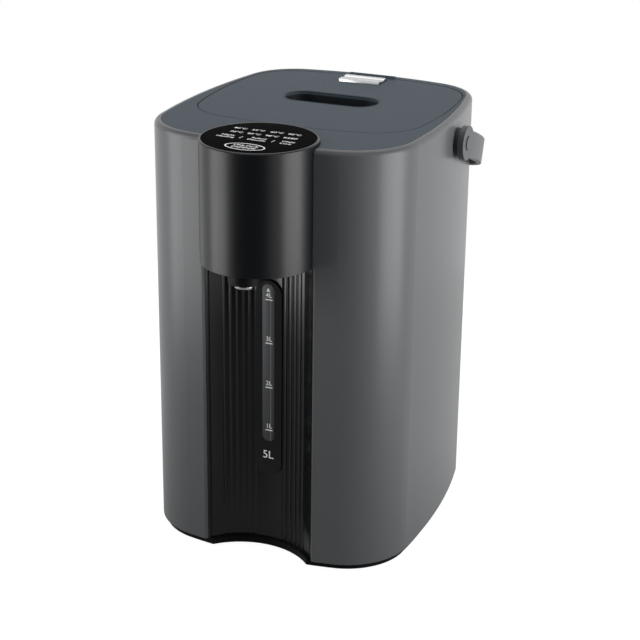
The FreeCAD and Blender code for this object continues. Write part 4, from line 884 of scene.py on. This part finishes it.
@dataclass(frozen=True)
class Softbox:
    """One soft lamp, placed by its direction from the object, in degrees and metres."""

    name: str
    azimuth: float
    height: float
    distance: float
    width: float
    length: float
    strength: float
    aim: float = 0.17

    def build(self) -> bpy.types.Object:
        """Makes the lamp so that its face looks at the object."""
        turn = math.radians(self.azimuth)
        lamp = bpy.data.lights.new(self.name, "AREA")
        lamp.shape = "RECTANGLE"
        lamp.size = self.width
        lamp.size_y = self.length
        lamp.energy = self.strength * math.pi * self.width * self.length
        made = bpy.data.objects.new(self.name, lamp)
        made.location = (math.sin(turn) * self.distance, -math.cos(turn) * self.distance, self.height)
        look = Vector((0.0, 0.0, self.aim)) - made.location
        made.rotation_euler = look.to_track_quat("-Z", "Y").to_euler()
        made.visible_camera = False
        bpy.context.scene.collection.objects.link(made)
        return made


@dataclass
class Studio:
    """The floor, the dark card in front, the lamps, the world and the camera.

    Sizes are in millimetres. The floor's gloss changes by so much per metre.
    """

    floor_radius: float = 620.0
    floor_levels: Point = (-2.0, -0.02)
    floor_steps: int = 96
    floor_color: Color = (0.30, 0.30, 0.30)
    floor_glow: float = 0.92
    floor_gloss: float = 0.6
    gloss_middle: float = 0.5
    gloss_aside: float = 1.2
    gloss_behind: float = 2.2
    world_level: float = 0.22
    card_half: float = 1100.0
    card_thick: float = 20.0
    card_distance: float = 1700.0
    card_azimuth: float = 8.0
    lamps: tuple[Softbox, ...] = (
        Softbox("left_softbox", azimuth=-55.0, height=0.2, distance=1.5, width=1.0, length=1.7,
                strength=4.5),
        Softbox("right_softbox", azimuth=88.0, height=0.2, distance=1.5, width=1.1, length=1.7,
                strength=5.5),
        Softbox("top_softbox", azimuth=190.0, height=1.9, distance=0.7, width=1.2, length=1.0,
                strength=1.6),
    )
    camera_place: tuple[float, float, float] = (486.1936, -1162.1172, 648.8019)
    camera_azimuth: float = 22.5186
    camera_elevation: float = 21.2898
    camera_roll: float = 0.6861
    lens: float = 95.778
    sensor: float = 36.0
    clip_start: float = 0.01

    def build(self) -> None:
        """Makes everything that isn't the object."""
        self.floor()
        self.card()
        for lamp in self.lamps:
            lamp.build()
        self.world()
        self.camera()

    def floor(self) -> None:
        """Makes the pale floor, which keeps the object's shadow."""
        outline = ellipse(self.floor_radius, self.floor_radius, self.floor_steps)
        rings = [[Vector((x, y, z)) for x, y in outline] for z in self.floor_levels]
        made = Builder.finish("floor", Builder.loops(rings), self.floor_material())

    def floor_material(self) -> bpy.types.Material:
        """A matte grey that the camera sees as white, and gloss as darker toward the front."""
        made = bpy.data.materials.new("floor_look")
        made.use_nodes = True
        graph = Graph(made.node_tree)
        matte = graph.add("ShaderNodeBsdfDiffuse", None, {"Color": (*self.floor_color, 1.0)})
        camera, gloss = graph.rays("Is Camera Ray", "Is Glossy Ray")
        across, behind, _ = graph.axes()
        aside = across.size()
        paler = (aside * self.gloss_aside + behind * self.gloss_behind + self.gloss_middle).held()
        level = camera * self.floor_glow + gloss * paler * self.floor_gloss
        glow = graph.add("ShaderNodeEmission", None, {"Color": WHITE, "Strength": level})
        surface = graph.add("ShaderNodeAddShader", None, {0: matte, 1: glow})
        graph.node("ShaderNodeOutputMaterial", None, {0: surface})
        return made

    def card(self) -> None:
        """Makes the dark card that stands in front, out of the camera's sight."""
        turn = math.radians(self.card_azimuth)
        front = Vector((math.sin(turn), -math.cos(turn), 0.0))
        side = Vector((math.cos(turn), math.sin(turn), 0.0))
        rings = []
        for depth in (0.0, self.card_thick):
            middle = front * (self.card_distance + depth)
            rings.append([middle + side * (u * self.card_half) + Vector((0, 0, v * self.card_half))
                          for u, v in ((-1, -1), (1, -1), (1, 1), (-1, 1))])
        made = Builder.finish("dark_card", Builder.loops(rings), FINISHES[Slot.BLACK].material())
        made.visible_camera = False

    def world(self) -> None:
        """Lights the room evenly, and shows white to the camera and in gloss and clear plastic."""
        world = bpy.data.worlds.new("studio")
        world.use_nodes = True
        bpy.context.scene.world = world
        graph = Graph(world.node_tree)
        camera, gloss, through = graph.rays("Is Camera Ray", "Is Glossy Ray", "Is Transmission Ray")
        seen = camera.greatest(gloss).greatest(through)
        level = seen * (1.0 - self.world_level) + self.world_level
        glow = graph.add("ShaderNodeBackground", None, {"Color": WHITE, "Strength": level})
        graph.node("ShaderNodeOutputWorld", None, {0: glow})

    def camera(self) -> None:
        """Places the camera where the photograph was taken from."""
        turn = math.radians(self.camera_azimuth)
        tilt = math.radians(self.camera_elevation)
        roll = math.radians(self.camera_roll)
        ahead = Vector((-math.sin(turn) * math.cos(tilt), math.cos(turn) * math.cos(tilt), -math.sin(tilt)))
        right = Vector((math.cos(turn), math.sin(turn), 0.0))
        down = ahead.cross(right)
        across = right * math.cos(roll) - down * math.sin(roll)
        below = right * math.sin(roll) + down * math.cos(roll)
        turned = Matrix((across, -below, -ahead)).transposed().to_4x4()
        data = bpy.data.cameras.new("camera")
        data.lens = self.lens
        data.sensor_width = self.sensor
        data.clip_start = self.clip_start
        made = bpy.data.objects.new("camera", data)
        made.matrix_world = Matrix.Translation(Vector(self.camera_place) * MM) @ turned
        bpy.context.scene.collection.objects.link(made)
        bpy.context.scene.camera = made


def main() -> None:
    """Builds the looks in order."""
    logging.basicConfig(level=logging.INFO, format="%(name)s: %(message)s")
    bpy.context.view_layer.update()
    bpy.context.scene.view_settings.view_transform = "Standard"
    Studio().build()
    LOG.info("dressed %d nodes", Casing().dress())
    for part in (ControlHead(), LevelGauge(), ReleaseLever(), LidTrim()):
        for made in part.build():
            LOG.info("made %s", made.name)


if __name__ == "__main__":
    main()
